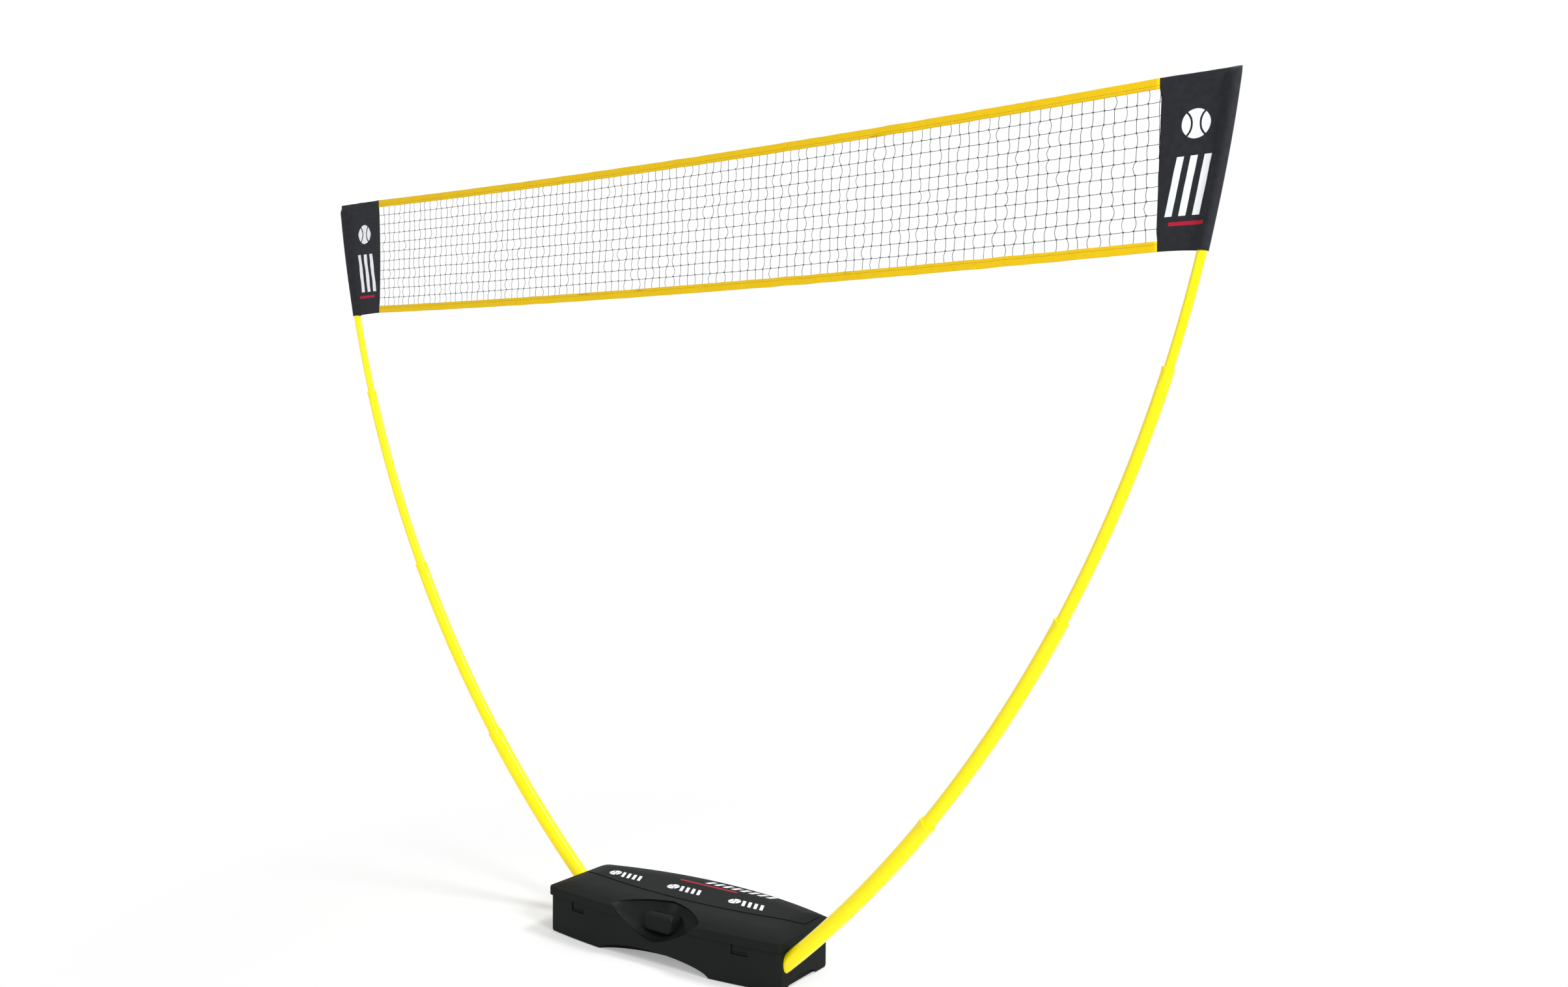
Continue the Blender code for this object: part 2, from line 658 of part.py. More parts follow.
def lower_shell(mat):
    inset = RIM_OVERHANG
    low_bulge = CASE_FRONT_BULGE + CASE_FLOOR_FLARE
    bm = case_block(inset, 0, SHELL_HEIGHT, low_bulge, CASE_FRONT_BULGE, CASE_CORNER_RADIUS)
    bm.normal_update()
    bmesh.ops.bevel(bm, geom=rim_edges(bm, 0), offset=SHELL_FLOOR_EDGE, segments=2, profile=0.5,
                    affect="EDGES", material=-1)
    shell = mesh_object("lower_shell", bm)
    room = mesh_object("shell_room", case_block(inset + WALL, WALL, SHELL_HEIGHT + 2 * WALL, low_bulge,
                                                CASE_FRONT_BULGE, CASE_CORNER_RADIUS - WALL), CUTTERS)
    cut(room, toe("toe_room", WALL))
    cut(room, bowl("bowl_room", WALL))
    depth = LATCH_RECESS + LATCH_THICKNESS + LATCH_TRAVEL + GAP
    pocket_low = -LATCH_HEIGHT / 2 - GAP
    pocket_high = LATCH_HEIGHT / 2 + 2 * WALL
    for side_name, side in SIDES.items():
        cut(room, arch(side_name + "_arch_room", side, WALL))
        cut(room, cradle(side_name + "_cradle", side))
        cut(room, latch_box(side_name + "_latch_room", side, LATCH_SIDE_GAP + WALL, pocket_low - WALL,
                            pocket_high + WALL, -WALL, depth + WALL))
    cut(shell, toe("toe_hollow", 0))
    cut(shell, bowl("bowl_hollow", 0))
    cut(shell, room)
    for side_name, side in SIDES.items():
        cut(shell, arch(side_name + "_arch_hollow", side, 0))
        cut(shell, latch_box(side_name + "_latch_hollow", side, LATCH_SIDE_GAP, pocket_low, pocket_high,
                             -WALL, depth))
        reach = 2 * TUBE_RADII[0]
        cut(shell, arc_rod(side_name + "_pole_hole", side_name,
                           [(-reach, TUBE_RADII[0] + GAP), (reach, TUBE_RADII[0] + GAP)], CUTTERS))
        hinge_x = side * HINGE_SPACING / 2
        offset = (HINGE_LID_KNUCKLE + HINGE_SHELL_KNUCKLE) / 2 + GAP
        for end in (-1, 1):
            name = f"{side_name}_shell_knuckle_{end + 2}"
            reach = HINGE_SETBACK + RIM_OVERHANG + bulge_drop(hinge_x + end * offset) + WALL / 2
            cut(shell, knuckle(name, hinge_x + end * offset, HINGE_SHELL_KNUCKLE, HINGE_Z - 2 * HINGE_WEB,
                               HINGE_Z - GAP, reach), "UNION")
        cut(shell, cylinder_x(side_name + "_shell_pin_bore", (hinge_x, HINGE_Y, HINGE_Z),
                              HINGE_PIN_RADIUS + GAP, HINGE_SPACING / 2, 16))
    apply_modifiers(shell)
    return finish(shell, mat)


def bulge_drop(x):
    """How far the back of the case falls short of its furthest point at x."""
    return CASE_BACK_BULGE - bulge_y(x, END_HALF, CASE_BACK_BULGE)


def lid_block(low_z, rim_z):
    """The lid's outer form as a solid block: a rounded rim and a crowned top."""
    bm = case_block(0, low_z, rim_z, CASE_FRONT_BULGE, CASE_FRONT_BULGE, CASE_CORNER_RADIUS)
    bm.normal_update()
    bmesh.ops.bevel(bm, geom=rim_edges(bm, rim_z), offset=LID_RIM_EDGE, segments=2, profile=0.5,
                    affect="EDGES", material=-1)
    crown(bm, LID_CROWN, LID_CROWN_BAND)
    return bm


def lid(mat):
    cover = mesh_object("lid", lid_block(LID_BOTTOM_Z, LID_RIM_Z))
    skirt = RIM_OVERHANG + WALL
    inside = case_block(skirt, LID_BOTTOM_Z - WALL, LID_RIM_Z - WALL, CASE_FRONT_BULGE, CASE_FRONT_BULGE,
                        CASE_CORNER_RADIUS - skirt)
    inside.normal_update()
    crown(inside, LID_CROWN, LID_CROWN_BAND)
    room = mesh_object("lid_room", inside, CUTTERS)
    cut(room, bowl("lid_bowl_room", WALL))
    cut(cover, bowl("lid_bowl_hollow", 0))
    cut(cover, room)
    for hinge_x in hinge_middles():
        name = "lid_knuckle_right" if hinge_x > 0 else "lid_knuckle_left"
        reach = HINGE_SETBACK + bulge_drop(hinge_x) + WALL
        cut(cover, knuckle(name, hinge_x, HINGE_LID_KNUCKLE, LID_BOTTOM_Z, LID_BOTTOM_Z + HINGE_WEB, reach),
            "UNION")
        cut(cover, cylinder_x(name + "_bore", (hinge_x, HINGE_Y, HINGE_Z), HINGE_PIN_RADIUS + GAP,
                              HINGE_LID_KNUCKLE * 2, 16))
    apply_modifiers(cover)
    set_origin(cover, Vector((0, HINGE_Y, HINGE_Z)))
    return finish(cover, mat)


def hinge_pin(side_name, mat):
    length = HINGE_LID_KNUCKLE + 2 * HINGE_SHELL_KNUCKLE
    centre = Vector((SIDES[side_name] * HINGE_SPACING / 2, HINGE_Y, HINGE_Z))
    pin = cylinder_x(side_name + "_hinge_pin", centre, HINGE_PIN_RADIUS, length, 16, PARTS)
    set_origin(pin, centre)
    return finish(pin, mat)


def latch_button(side_name, mat):
    side = SIDES[side_name]
    name = side_name + "_latch_button"
    button = latch_box(name, side, 0, -LATCH_HEIGHT / 2, LATCH_HEIGHT / 2, LATCH_RECESS,
                       LATCH_RECESS + LATCH_THICKNESS, PARTS)
    y, turn = front_wall(LATCH_X, LATCH_Z)
    place = Vector((side * LATCH_X, y, LATCH_Z))
    slot_low = LATCH_SLOT_RISE - LATCH_HEIGHT / 2
    slot = box(name + "_slot", (-LATCH_SLOT_WIDTH / 2, 0, slot_low),
               (LATCH_SLOT_WIDTH / 2, LATCH_RECESS + LATCH_SLOT_DEPTH, slot_low + LATCH_SLOT_HEIGHT),
               CUTTERS, side * turn, place)
    cut(button, slot)
    apply_modifiers(button)
    set_origin(button, place)
    return finish(button, mat)


def carry_handle(mat):
    half = HANDLE_WIDTH / 2
    low_z = HANDLE_MIDDLE_Z - HANDLE_HEIGHT / 2
    high_z = HANDLE_MIDDLE_Z + HANDLE_HEIGHT / 2
    back_y = HANDLE_FRONT_Y + HANDLE_DEPTH
    grip = box("carry_handle", (-half, HANDLE_FRONT_Y, low_z), (half, back_y, high_z), PARTS)
    bm = bmesh.new()
    bm.from_mesh(grip.data)
    corners = [e for e in bm.edges if abs(e.verts[0].co.y - e.verts[1].co.y) > GAP]
    bmesh.ops.bevel(bm, geom=corners, offset=HANDLE_CORNER, segments=4, profile=0.5, affect="EDGES",
                    material=-1)
    rims = [e for e in bm.edges if abs(e.verts[0].co.y - e.verts[1].co.y) < GAP]
    bmesh.ops.bevel(bm, geom=rims, offset=HANDLE_EDGE, segments=3, profile=0.5, affect="EDGES",
                    material=-1)
    bm.to_mesh(grip.data)
    bm.free()
    leg_low = HANDLE_MIDDLE_Z - HANDLE_LEG_HEIGHT / 2
    for side in SIDES.values():
        outer = half - HANDLE_CORNER / 4
        xs = sorted((side * outer, side * (outer - HANDLE_LEG_WIDTH)))
        leg = box(f"handle_leg_{side + 1}", (xs[0], HANDLE_FRONT_Y + HANDLE_DEPTH / 2, leg_low),
                  (xs[1], HANDLE_FRONT_Y + BOWL_REACH, leg_low + HANDLE_LEG_HEIGHT))
        cut(grip, leg, "UNION")
    cut(grip, bowl("handle_room", -GAP), "INTERSECT")
    apply_modifiers(grip)
    set_origin(grip, Vector((0, HANDLE_FRONT_Y + HANDLE_DEPTH / 2, HANDLE_MIDDLE_Z)))
    return finish(grip, mat)


def lid_panel(mat):
    """The glossy sheet set on the lid, behind the hand recess."""
    half = END_HALF - PANEL_END_INSET
    steps = 12
    back = []
    for i in range(steps + 1):
        x = half * (1 - 2 * i / steps)
        back.append((x, CASE_BACK_END + bulge_y(x, END_HALF, CASE_BACK_BULGE) - PANEL_BACK_INSET))
    front = []
    for i in range(steps + 1):
        x = half * (2 * i / steps - 1)
        share = (x / half) ** 2
        front.append((x, PANEL_FRONT_MIDDLE_Y + (PANEL_FRONT_END_Y - PANEL_FRONT_MIDDLE_Y) * share))
    bm = bmesh.new()
    verts = [bm.verts.new((x, y, LID_BOTTOM_Z)) for x, y in front + back]
    base = bm.faces.new(verts)
    corners = [verts[0], verts[steps], verts[steps + 1], verts[-1]]
    top = bmesh.ops.extrude_face_region(bm, geom=[base])["geom"]
    moved = [v for v in top if isinstance(v, bmesh.types.BMVert)]
    bmesh.ops.translate(bm, vec=(0, 0, LID_RIM_HEIGHT + LID_CROWN + 2 * WALL), verts=moved)
    edges = [e for e in bm.edges if abs(e.verts[0].co.z - e.verts[1].co.z) > WALL
             and any(v in corners for v in e.verts)]
    bmesh.ops.bevel(bm, geom=edges, offset=CASE_CORNER_RADIUS, segments=4, profile=0.5, affect="EDGES",
                    material=-1)
    panel = mesh_object("lid_panel", bm)
    for name, lift, operation in (("panel_skin", GAP + PANEL_THICKNESS, "INTERSECT"),
                                  ("panel_seat", GAP, "DIFFERENCE")):
        layer = lid_block(LID_BOTTOM_Z - WALL, LID_RIM_Z + lift)
        cut(panel, mesh_object(name, layer, CUTTERS), operation)
    apply_modifiers(panel)
    set_origin(panel, Vector((0, HINGE_Y, HINGE_Z)))
    return finish(panel, mat)


# Assembly


def build():
    black_plastic = material("moulded_black_plastic", (0.016, 0.020, 0.020), 0.42)
    gloss_black = material("glossy_black_sheet", (0.008, 0.010, 0.010), 0.12)
    steel = material("zinc_plated_steel", (0.55, 0.56, 0.58), 0.35, 1.0)
    yellow_tube = material("yellow_glass_fibre_tube", (0.91, 0.72, 0.03), 0.30)
    black_rubber = material("black_rubber", (0.02, 0.02, 0.02), 0.80)
    black_cloth = material("black_nylon_cloth", (0.018, 0.022, 0.024), 0.75)
    yellow_tape = material("golden_polyester_tape", (0.88, 0.60, 0.03), 0.70)
    dark_cord = material("dark_netting_twine", (0.03, 0.05, 0.05), 0.80)

    lower_shell(black_plastic)
    lid(black_plastic)
    lid_panel(gloss_black)
    carry_handle(black_plastic)
    for side_name in SIDES:
        hinge_pin(side_name, steel)
        latch_button(side_name, black_plastic)
        pole_socket(side_name, black_plastic)
        base_plug(side_name, black_rubber)
        for index in range(len(TUBE_RADII)):
            pole_section(side_name, index, yellow_tube)
        tip_cap(side_name, black_rubber)
        sleeve(side_name, black_cloth)
    pivot = net_pivot("right")
    tape("top_tape", True, yellow_tape, pivot)
    tape("bottom_tape", False, yellow_tape, pivot)
    netting(dark_cord, pivot)


build()
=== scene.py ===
"""The looks of a portable net set: a net between two bowed telescopic poles that stand in a carry case.

Each piece is made by an operator of a small add-on, in metres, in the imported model's frame.
+X runs along the net to the right, +Y points away from the carry handle and +Z is up.
"""
import json
import math

import bmesh
import bpy
from bpy.props import FloatProperty, IntProperty, PointerProperty, StringProperty
from mathutils import Matrix, Vector, noise


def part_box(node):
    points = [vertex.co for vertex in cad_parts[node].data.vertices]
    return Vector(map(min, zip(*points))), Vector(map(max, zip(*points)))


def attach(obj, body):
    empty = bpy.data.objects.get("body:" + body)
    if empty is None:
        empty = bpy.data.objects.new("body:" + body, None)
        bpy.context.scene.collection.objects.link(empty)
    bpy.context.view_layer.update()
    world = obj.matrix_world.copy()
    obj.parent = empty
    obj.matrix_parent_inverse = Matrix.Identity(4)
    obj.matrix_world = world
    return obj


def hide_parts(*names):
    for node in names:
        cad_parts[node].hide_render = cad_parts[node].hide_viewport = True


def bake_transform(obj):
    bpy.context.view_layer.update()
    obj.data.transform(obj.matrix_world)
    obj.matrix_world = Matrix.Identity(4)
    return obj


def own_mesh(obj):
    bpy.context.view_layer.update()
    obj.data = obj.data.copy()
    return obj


bl_info = {
    "name": "Portable net set",
    "version": (1, 0, 0),
    "blender": (4, 5, 0),
    "location": "3D View > Sidebar > Net set",
    "description": "Dresses a portable net set: case, poles, net, tapes and sleeves",
    "category": "Add Mesh",
}

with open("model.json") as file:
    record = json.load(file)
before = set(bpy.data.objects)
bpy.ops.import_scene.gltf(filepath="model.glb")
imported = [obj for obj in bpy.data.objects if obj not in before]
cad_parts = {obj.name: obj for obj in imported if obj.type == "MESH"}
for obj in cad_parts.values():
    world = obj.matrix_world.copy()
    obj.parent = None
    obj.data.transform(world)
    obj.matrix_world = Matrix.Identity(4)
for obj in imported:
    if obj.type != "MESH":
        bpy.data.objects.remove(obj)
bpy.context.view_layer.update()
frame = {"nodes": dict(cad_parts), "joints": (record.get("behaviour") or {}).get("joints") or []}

# The camera that took the photograph, solved from the net, the poles and the case
CAMERA_PLACE = (2.3336, -2.9605, 1.4135)
CAMERA_YAW = 34.106
CAMERA_PITCH = -2.2783
CAMERA_ROLL = 0.4225
CAMERA_LENS = 31.565
CAMERA_SENSOR = 36.0

# Poles: each is bowed on a circle about the joint of its sliding sections
SIDES = {"right": 1, "left": -1}
BOW_RADIUS = 3.35
BOW_ANGLE = {"right": math.radians(41.9), "left": math.radians(41.3)}
BOW_CENTRE = {
    joint["name"].split("_")[0]: Vector(joint["pos_m"])
    for joint in frame["joints"] if joint["name"].endswith("section_2")
}
TUBE_RADII = (0.0210, 0.0176, 0.0142, 0.0108)
TUBE_WALL = 0.0022
TUBE_BODIES = ("case", "{}_tube_2", "{}_tube_3", "{}_tube_4")
BASE_INSERT = 0.075
BASE_SHOWN = 0.580
SECTION_SHOWN = 0.610
SECTION_OVERLAP = 0.060
LIP_LENGTH = 0.009
LIP_STEP = 0.0008
LIP_EDGE = 0.0007
FIT_GAP = 0.0003
BUSH_LENGTH = 0.020
CAP_LENGTH = 0.008
RING_STEP = 0.030
TUBE_WELD = 1e-6

# Moulded parts: points closer than the weld are one point, faces that meet at less than the flat angle are
# one face, and edges sharper than the sharp angle are rounded
WELD = 1e-5
FLAT_ANGLE = math.radians(0.6)
SHARP_ANGLE = math.radians(38)

# The net's sheet
NET_HEIGHT = 0.368
NET_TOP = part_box("top_tape")[1].z
NET_BOTTOM = NET_TOP - NET_HEIGHT
NET_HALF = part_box("top_tape")[1].x + FIT_GAP
TOP_SAG = 0.016
BOTTOM_SAG = 0.013

# Netting: how far its cords stray, lift, dip and lean from a straight grid, and how flat a knot is
CORD_STRAY = 0.0030
CORD_LIFT = 0.0014
CORD_DIP = 0.0008
NET_LEAN = 0.014
KNOT_FLATNESS = 0.8
# Straight steps of an upright cord from knot to knot
CORD_STEPS = 4
# How far the level cords run into the sleeves' seams
SEAM_RUN = 0.005
# The edge cords lie at this share of the tape's height from the net's edge
EDGE_CORD_AT = 0.86

# Tapes: one cloth folded over the net's edge, and how far it strays from a straight strip
TAPE_HEIGHT = 0.0225
TAPE_DEPTH = 0.0024
TAPE_CLOTH = 0.0006
TAPE_STATIONS = 300
TAPE_STEPS = 5
TAPE_RIPPLE = 0.0016
TAPE_PUCKER = 0.0007
TAPE_DROOP = 0.0010
# The tape ends this share of its half length before the sleeve's edge
TAPE_END_GAP = 2e-4

# Sleeves: the edge that is sewn to the net leans and bows, and stays straight beside the tapes
SLEEVE_COLUMNS = 96
SLEEVE_ROWS = 72
EDGE_LEAN = {"right": 0.008, "left": 0.0}
EDGE_BOW = {"right": 0.0, "left": -0.005}
EDGE_PIVOT = 0.4
EDGE_CLEAR = 0.02
FOOT_DROP = 0.006
# Half the gap between the two layers, in thicknesses of the cloth: at the seam, and what it gains beside it
LAYER_GAP = 0.55
LAYER_SPREAD = 0.9
SEAM_TAPER = 0.007
# The pocket opens over the ramp to fit round the tube
POCKET_RAMP = 0.024
POCKET_GAP = 0.0012
POCKET_RIPPLE = 0.0005
# It closes over the pole's tip, from a little below the tip upwards, to a fold with this radius in
# thicknesses of the cloth
CLOSING_START = 0.004
CLOSING_RUN = 0.022
FOLD_RADIUS = 0.9
# The wrinkles run along this direction of the sleeve's width and height, fade towards the seam and gain
# height from the foot to the top
WRINKLE_RUN = (0.80, 0.60)
WRINKLE_FADE = 0.03
WRINKLE_FOOT = 0.30
WRINKLE_GAIN = 0.85

# Prints, in metres on the lid and on the sleeve's flat cloth. A ball has a centre and a radius, bars have
# two corners, a pitch and a lean, and a stripe has two corners
LID_BARS = ((-0.085, 0.134), (0.155, 0.160), 0.030, 0.45)
LID_STRIPE = ((-0.10, 0.113), (0.10, 0.122))
# The lid's three signs stand at these places, and each has a ball and bars beside it
SIGN_MIDDLES = (-0.245, -0.030, 0.185)
SIGN_BALL = ((-0.048, 0.056), 0.018)
SIGN_BARS = ((0.006, 0.037), (0.077, 0.073), 0.020, -0.5)
SLEEVE_BALL = ((0.078, 0.262), 0.031)
SLEEVE_BARS = ((0.004, 0.072), (0.081, 0.196), 0.030, 0.18)
SLEEVE_STRIPE = ((0.026, 0.052), (0.104, 0.060))
# The share of its pitch that a bar takes
BAR_SHARE = 0.52
# A ball's panel lines are parts of circles, in shares of the ball's radius: how far aside the circles stand,
# their radius and half the line's width
PANEL_ASIDE = 1.35
PANEL_RADIUS = 1.05
PANEL_LINE = 0.07

# Lamps: name, place, diameter and power
LAMPS = (
    ("key", (5.2, -1.8, 3.6), 1.8, 220),
    ("fill", (-3.6, -4.4, 2.4), 3.2, 50),
    ("top", (2.0, 1.2, 4.6), 1.4, 110),
)
LAMP_AIM = Vector((0, 0, 1.0))
# The white world's strength as light. To the eye it is 1
SKY_LIGHT = 0.55

# The floor's radius, and the distances from the middle between which it turns white to the eye
FLOOR_RADIUS = 40.0
WHITE_FROM = 0.6
WHITE_BY = 1.8


def net_turn():
    """How the net is turned about Z, from one pole's plane to the other's."""
    pivot = next(Vector(j["pos_m"]) for j in frame["joints"] if j["name"] == "net_level")
    return math.atan2(pivot.y, pivot.x)


NET_TURN = net_turn()
NET_ALONG = Vector((math.cos(NET_TURN), math.sin(NET_TURN), 0))
NET_BACK = Vector((-math.sin(NET_TURN), math.cos(NET_TURN), 0))


class NetSetSizes(bpy.types.PropertyGroup):
    """Sizes of what is too fine for the solid model."""

    cells_long: IntProperty(
        name="Cells along", description="Cells of the netting from sleeve to sleeve", default=103, min=10)
    cells_high: IntProperty(
        name="Cells high", description="Cells of the netting from tape to tape", default=11, min=2)
    cord: FloatProperty(
        name="Cord", description="Thickness of the netting's cord", default=0.0013, unit="LENGTH")
    knot: FloatProperty(
        name="Knot", description="Thickness of a knot", default=0.0046, unit="LENGTH")
    slack: FloatProperty(
        name="Slack", description="How far an upright cord strays between knots", default=0.0085,
        unit="LENGTH")
    sleeve_cloth: FloatProperty(
        name="Sleeve cloth", description="Thickness of the sleeve's nylon", default=0.0008, unit="LENGTH")
    wrinkle: FloatProperty(
        name="Wrinkle", description="Height of the sleeve's wrinkles", default=0.0030, unit="LENGTH")
    edge: FloatProperty(
        name="Edge", description="Radius of the case's moulded edges", default=0.0012, unit="LENGTH")
    sides: IntProperty(
        name="Tube sides", description="Faces round a tube", default=40, min=12)


class NetSetColours(bpy.types.PropertyGroup):
    """Colours, as sRGB hex values."""

    pole: StringProperty(name="Pole", description="Gel coat of the tubes", default="#FFED04")
    pole_deep: StringProperty(name="Pole, deep", description="Thin gel coat", default="#FADA00")
    tape: StringProperty(name="Tape", description="Polyester tape", default="#F2CB12")
    # The tape's deep colour serves two marks: random soiling of the webbing, and painted shade in the
    # weave's hollows
    tape_soil_and_shade: StringProperty(name="Tape, deep", description="Hollows of the weave", default="#D8A90C")
    thread: StringProperty(name="Thread", description="Stitching on the tapes", default="#9A8420")
    sleeve: StringProperty(name="Sleeve", description="Nylon of the sleeves", default="#202125")
    sleeve_pale: StringProperty(name="Sleeve, pale", description="Rubbed threads", default="#36373C")
    cord: StringProperty(name="Cord", description="Twine of the netting", default="#23292B")
    case: StringProperty(name="Case", description="Moulded case", default="#151817")
    case_worn: StringProperty(name="Case, worn", description="Rubbed places of the case", default="#1F2221")
    sheet: StringProperty(name="Lid sheet", description="Glossy sheet on the lid", default="#111614")
    print_white: StringProperty(name="White print", description="White ink", default="#EDF0F4")
    print_red: StringProperty(name="Red print", description="Red ink", default="#B3203A")
    rubber: StringProperty(name="Rubber", description="Caps and plugs", default="#17181A")
    steel: StringProperty(name="Steel", description="Hinge pins", default="#B9BBBD")
    floor: StringProperty(name="Floor", description="Studio floor", default="#F4F4F4")


def sizes():
    """The scene's sizes."""
    return bpy.context.scene.net_set_sizes


def colours():
    """The scene's colours."""
    return bpy.context.scene.net_set_colours


# Making meshes


def piece_from(bm, name, body, mat, sharp=30.0):
    """Turn a bmesh in the frame's metres into a piece that rides on a body."""
    mesh = bpy.data.meshes.new(name)
    bm.to_mesh(mesh)
    bm.free()
    piece = bpy.data.objects.new(name, mesh)
    bpy.context.scene.collection.objects.link(piece)
    mesh.materials.append(mat)
    mesh.shade_smooth()
    mesh.set_sharp_from_angle(angle=math.radians(sharp))
    if body:
        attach(piece, body)
    return piece


def shift_ring(bm, edges, matrix):
    """Extrude a ring of edges and move the new one. Returns its edges."""
    out = bmesh.ops.extrude_edge_only(bm, edges=edges)["geom"]
    verts = [g for g in out if isinstance(g, bmesh.types.BMVert)]
    fresh = set(verts)
    bmesh.ops.transform(bm, matrix=matrix, verts=verts)
    return [g for g in out if isinstance(g, bmesh.types.BMEdge) and all(v in fresh for v in g.verts)]


def lay_out(bm, layer, flat):
    """Fill a UV map in metres with the place of each vertex on the flat cloth."""
    for face in bm.faces:
        for loop in face.loops:
            loop[layer].uv = flat[loop.vert]


def thicken(piece, thickness):
    """Give a sheet its thickness, half to each side, in its own mesh."""
    wall = piece.modifiers.new("cloth", "SOLIDIFY")
    wall.thickness = thickness
    wall.offset = 0.0
    bpy.context.view_layer.update()
    made = bpy.data.meshes.new_from_object(piece.evaluated_get(bpy.context.evaluated_depsgraph_get()))
    piece.modifiers.clear()
    piece.data = made


# The bow of a pole


def bow_place(side_name, length):
    """A pole's own axes at a length above the case's hole: outwards, back and upwards along it."""
    angle = BOW_ANGLE[side_name] + length / BOW_RADIUS
    side = SIDES[side_name]
    out = Vector((side * math.sin(angle), 0, -math.cos(angle)))
    up = Vector((side * math.cos(angle), 0, math.sin(angle)))
    back = up.cross(out)
    matrix = Matrix((out, back, up)).transposed().to_4x4()
    return Matrix.Translation(BOW_CENTRE[side_name] + out * BOW_RADIUS) @ matrix


def bow_at_height(side_name, z):
    """The length above the hole at which a pole's middle has a height."""
    angle = math.acos((BOW_CENTRE[side_name].z - z) / BOW_RADIUS)
    return (angle - BOW_ANGLE[side_name]) * BOW_RADIUS


def stations_between(stations):
    """Add stations to long stretches, so that they follow the bow."""
    full = [stations[0]]
    for (start, first), (end, last) in zip(stations, stations[1:]):
        count = max(1, round(abs(end - start) / RING_STEP))
        for i in range(1, count + 1):
            share = i / count
            full.append((start + (end - start) * share, first + (last - first) * share))
    return full


def swept(side_name, stations, sides):
    """A tube along the bow, from lengths and radii. Its stations end where they began."""
    bm = bmesh.new()
    full = stations_between(stations)
    length, radius = full[0]
    place = bow_place(side_name, length)
    bmesh.ops.create_circle(bm, cap_ends=False, segments=sides, radius=radius, matrix=place)
    edges = bm.edges[:]
    for next_length, next_radius in full[1:]:
        next_place = bow_place(side_name, next_length)
        grow = Matrix.Diagonal((next_radius / radius, next_radius / radius, 1, 1))
        edges = shift_ring(bm, edges, next_place @ grow @ place.inverted())
        place, radius = next_place, next_radius
    bmesh.ops.remove_doubles(bm, verts=bm.verts[:], dist=TUBE_WELD)
    bmesh.ops.recalc_face_normals(bm, faces=bm.faces[:])
    return bm


def section_span(index):
    """The lengths above the hole between which a section runs, counted from 0."""
    if index == 0:
        return -BASE_INSERT, BASE_SHOWN
    start = BASE_SHOWN + (index - 1) * SECTION_SHOWN
    return start - SECTION_OVERLAP, start + SECTION_SHOWN


def section_stations(index):
    """Up the outside of a tube, over its lip, and down the inside back to the start."""
    start, end = section_span(index)
    radius = TUBE_RADII[index]
    bore = radius - TUBE_WALL
    outside = [(start, radius)]
    if index > 0:
        bush = TUBE_RADII[index - 1] - TUBE_WALL - FIT_GAP
        outside = [(start, bush), (start + BUSH_LENGTH, bush), (start + BUSH_LENGTH + FIT_GAP, radius)]
    if index == len(TUBE_RADII) - 1:
        rim = [(end - LIP_EDGE, radius), (end, radius - LIP_EDGE), (end, bore)]
    else:
        lip = radius + LIP_STEP
        mouth = TUBE_RADII[index + 1] + FIT_GAP
        rim = [(end - LIP_LENGTH - 2 * LIP_STEP, radius), (end - LIP_LENGTH, lip), (end - LIP_EDGE, lip),
               (end, lip - LIP_EDGE), (end, mouth + LIP_EDGE / 2), (end - LIP_EDGE / 2, mouth),
               (end - LIP_LENGTH, mouth), (end - LIP_LENGTH - FIT_GAP, bore)]
    return outside + rim + [(start, bore), outside[0]]


def along_and_round(bm, side_name):
    """A UV map in metres for a bowed tube: along it, and round it."""
    layer = bm.loops.layers.uv.new("UVMap")
    centre = BOW_CENTRE[side_name]
    side = SIDES[side_name]
    for face in bm.faces:
        turns = []
        for loop in face.loops:
            offset = loop.vert.co - centre
            length = math.atan2(side * offset.x, -offset.z) * BOW_RADIUS
            reach = math.hypot(offset.x, offset.z) - BOW_RADIUS
            turn = math.atan2(offset.y, reach)
            if turns and turn - turns[0] > math.pi:
                turn -= 2 * math.pi
            elif turns and turns[0] - turn > math.pi:
                turn += 2 * math.pi
            turns.append(turn)
            loop[layer].uv = (length, turn * math.hypot(offset.y, reach))


# The net's sheet


def sag_of(z_share, along):
    """How far the net hangs down at a share of its height and a place from -1 to 1 along it."""
    return (BOTTOM_SAG + (TOP_SAG - BOTTOM_SAG) * z_share) * (1 - along * along)


def on_net(along, z_share, out=0.0):
    """A point of the net's sheet. Out is how far it stands behind the sheet."""
    reach = NET_HALF / math.cos(NET_TURN)
    point = NET_ALONG * (along * reach) + NET_BACK * out
    point.z = NET_BOTTOM + z_share * NET_HEIGHT - sag_of(z_share, along)
    return point


def eased(share):
    """A share kept from 0 to 1, that starts and ends softly."""
    share = min(max(share, 0), 1)
    return share * share * (3 - 2 * share)


def wander(index, z_share, seed):
    """A smooth value from -1 to 1 that differs from cord to cord."""
    return noise.noise(Vector((index * 0.83 + seed, z_share * 9.0, seed * 3.7)))


# Materials


def linear(code):
    """An sRGB hex value as linear RGBA."""
    channels = [int(code[i:i + 2], 16) / 255 for i in (1, 3, 5)]
    made = [c / 12.92 if c <= 0.04045 else ((c + 0.055) / 1.055) ** 2.4 for c in channels]
    return (*made, 1.0)


def add(tree, kind, inputs=None, **settings):
    """Add a node with its settings, and give each input a value or another node's output."""
    made = tree.nodes.new(kind)
    for name, value in settings.items():
        setattr(made, name, value)
    for key, value in (inputs or {}).items():
        if isinstance(value, bpy.types.NodeSocket):
            tree.links.new(value, made.inputs[key])
        else:
            made.inputs[key].default_value = value
    return made.outputs


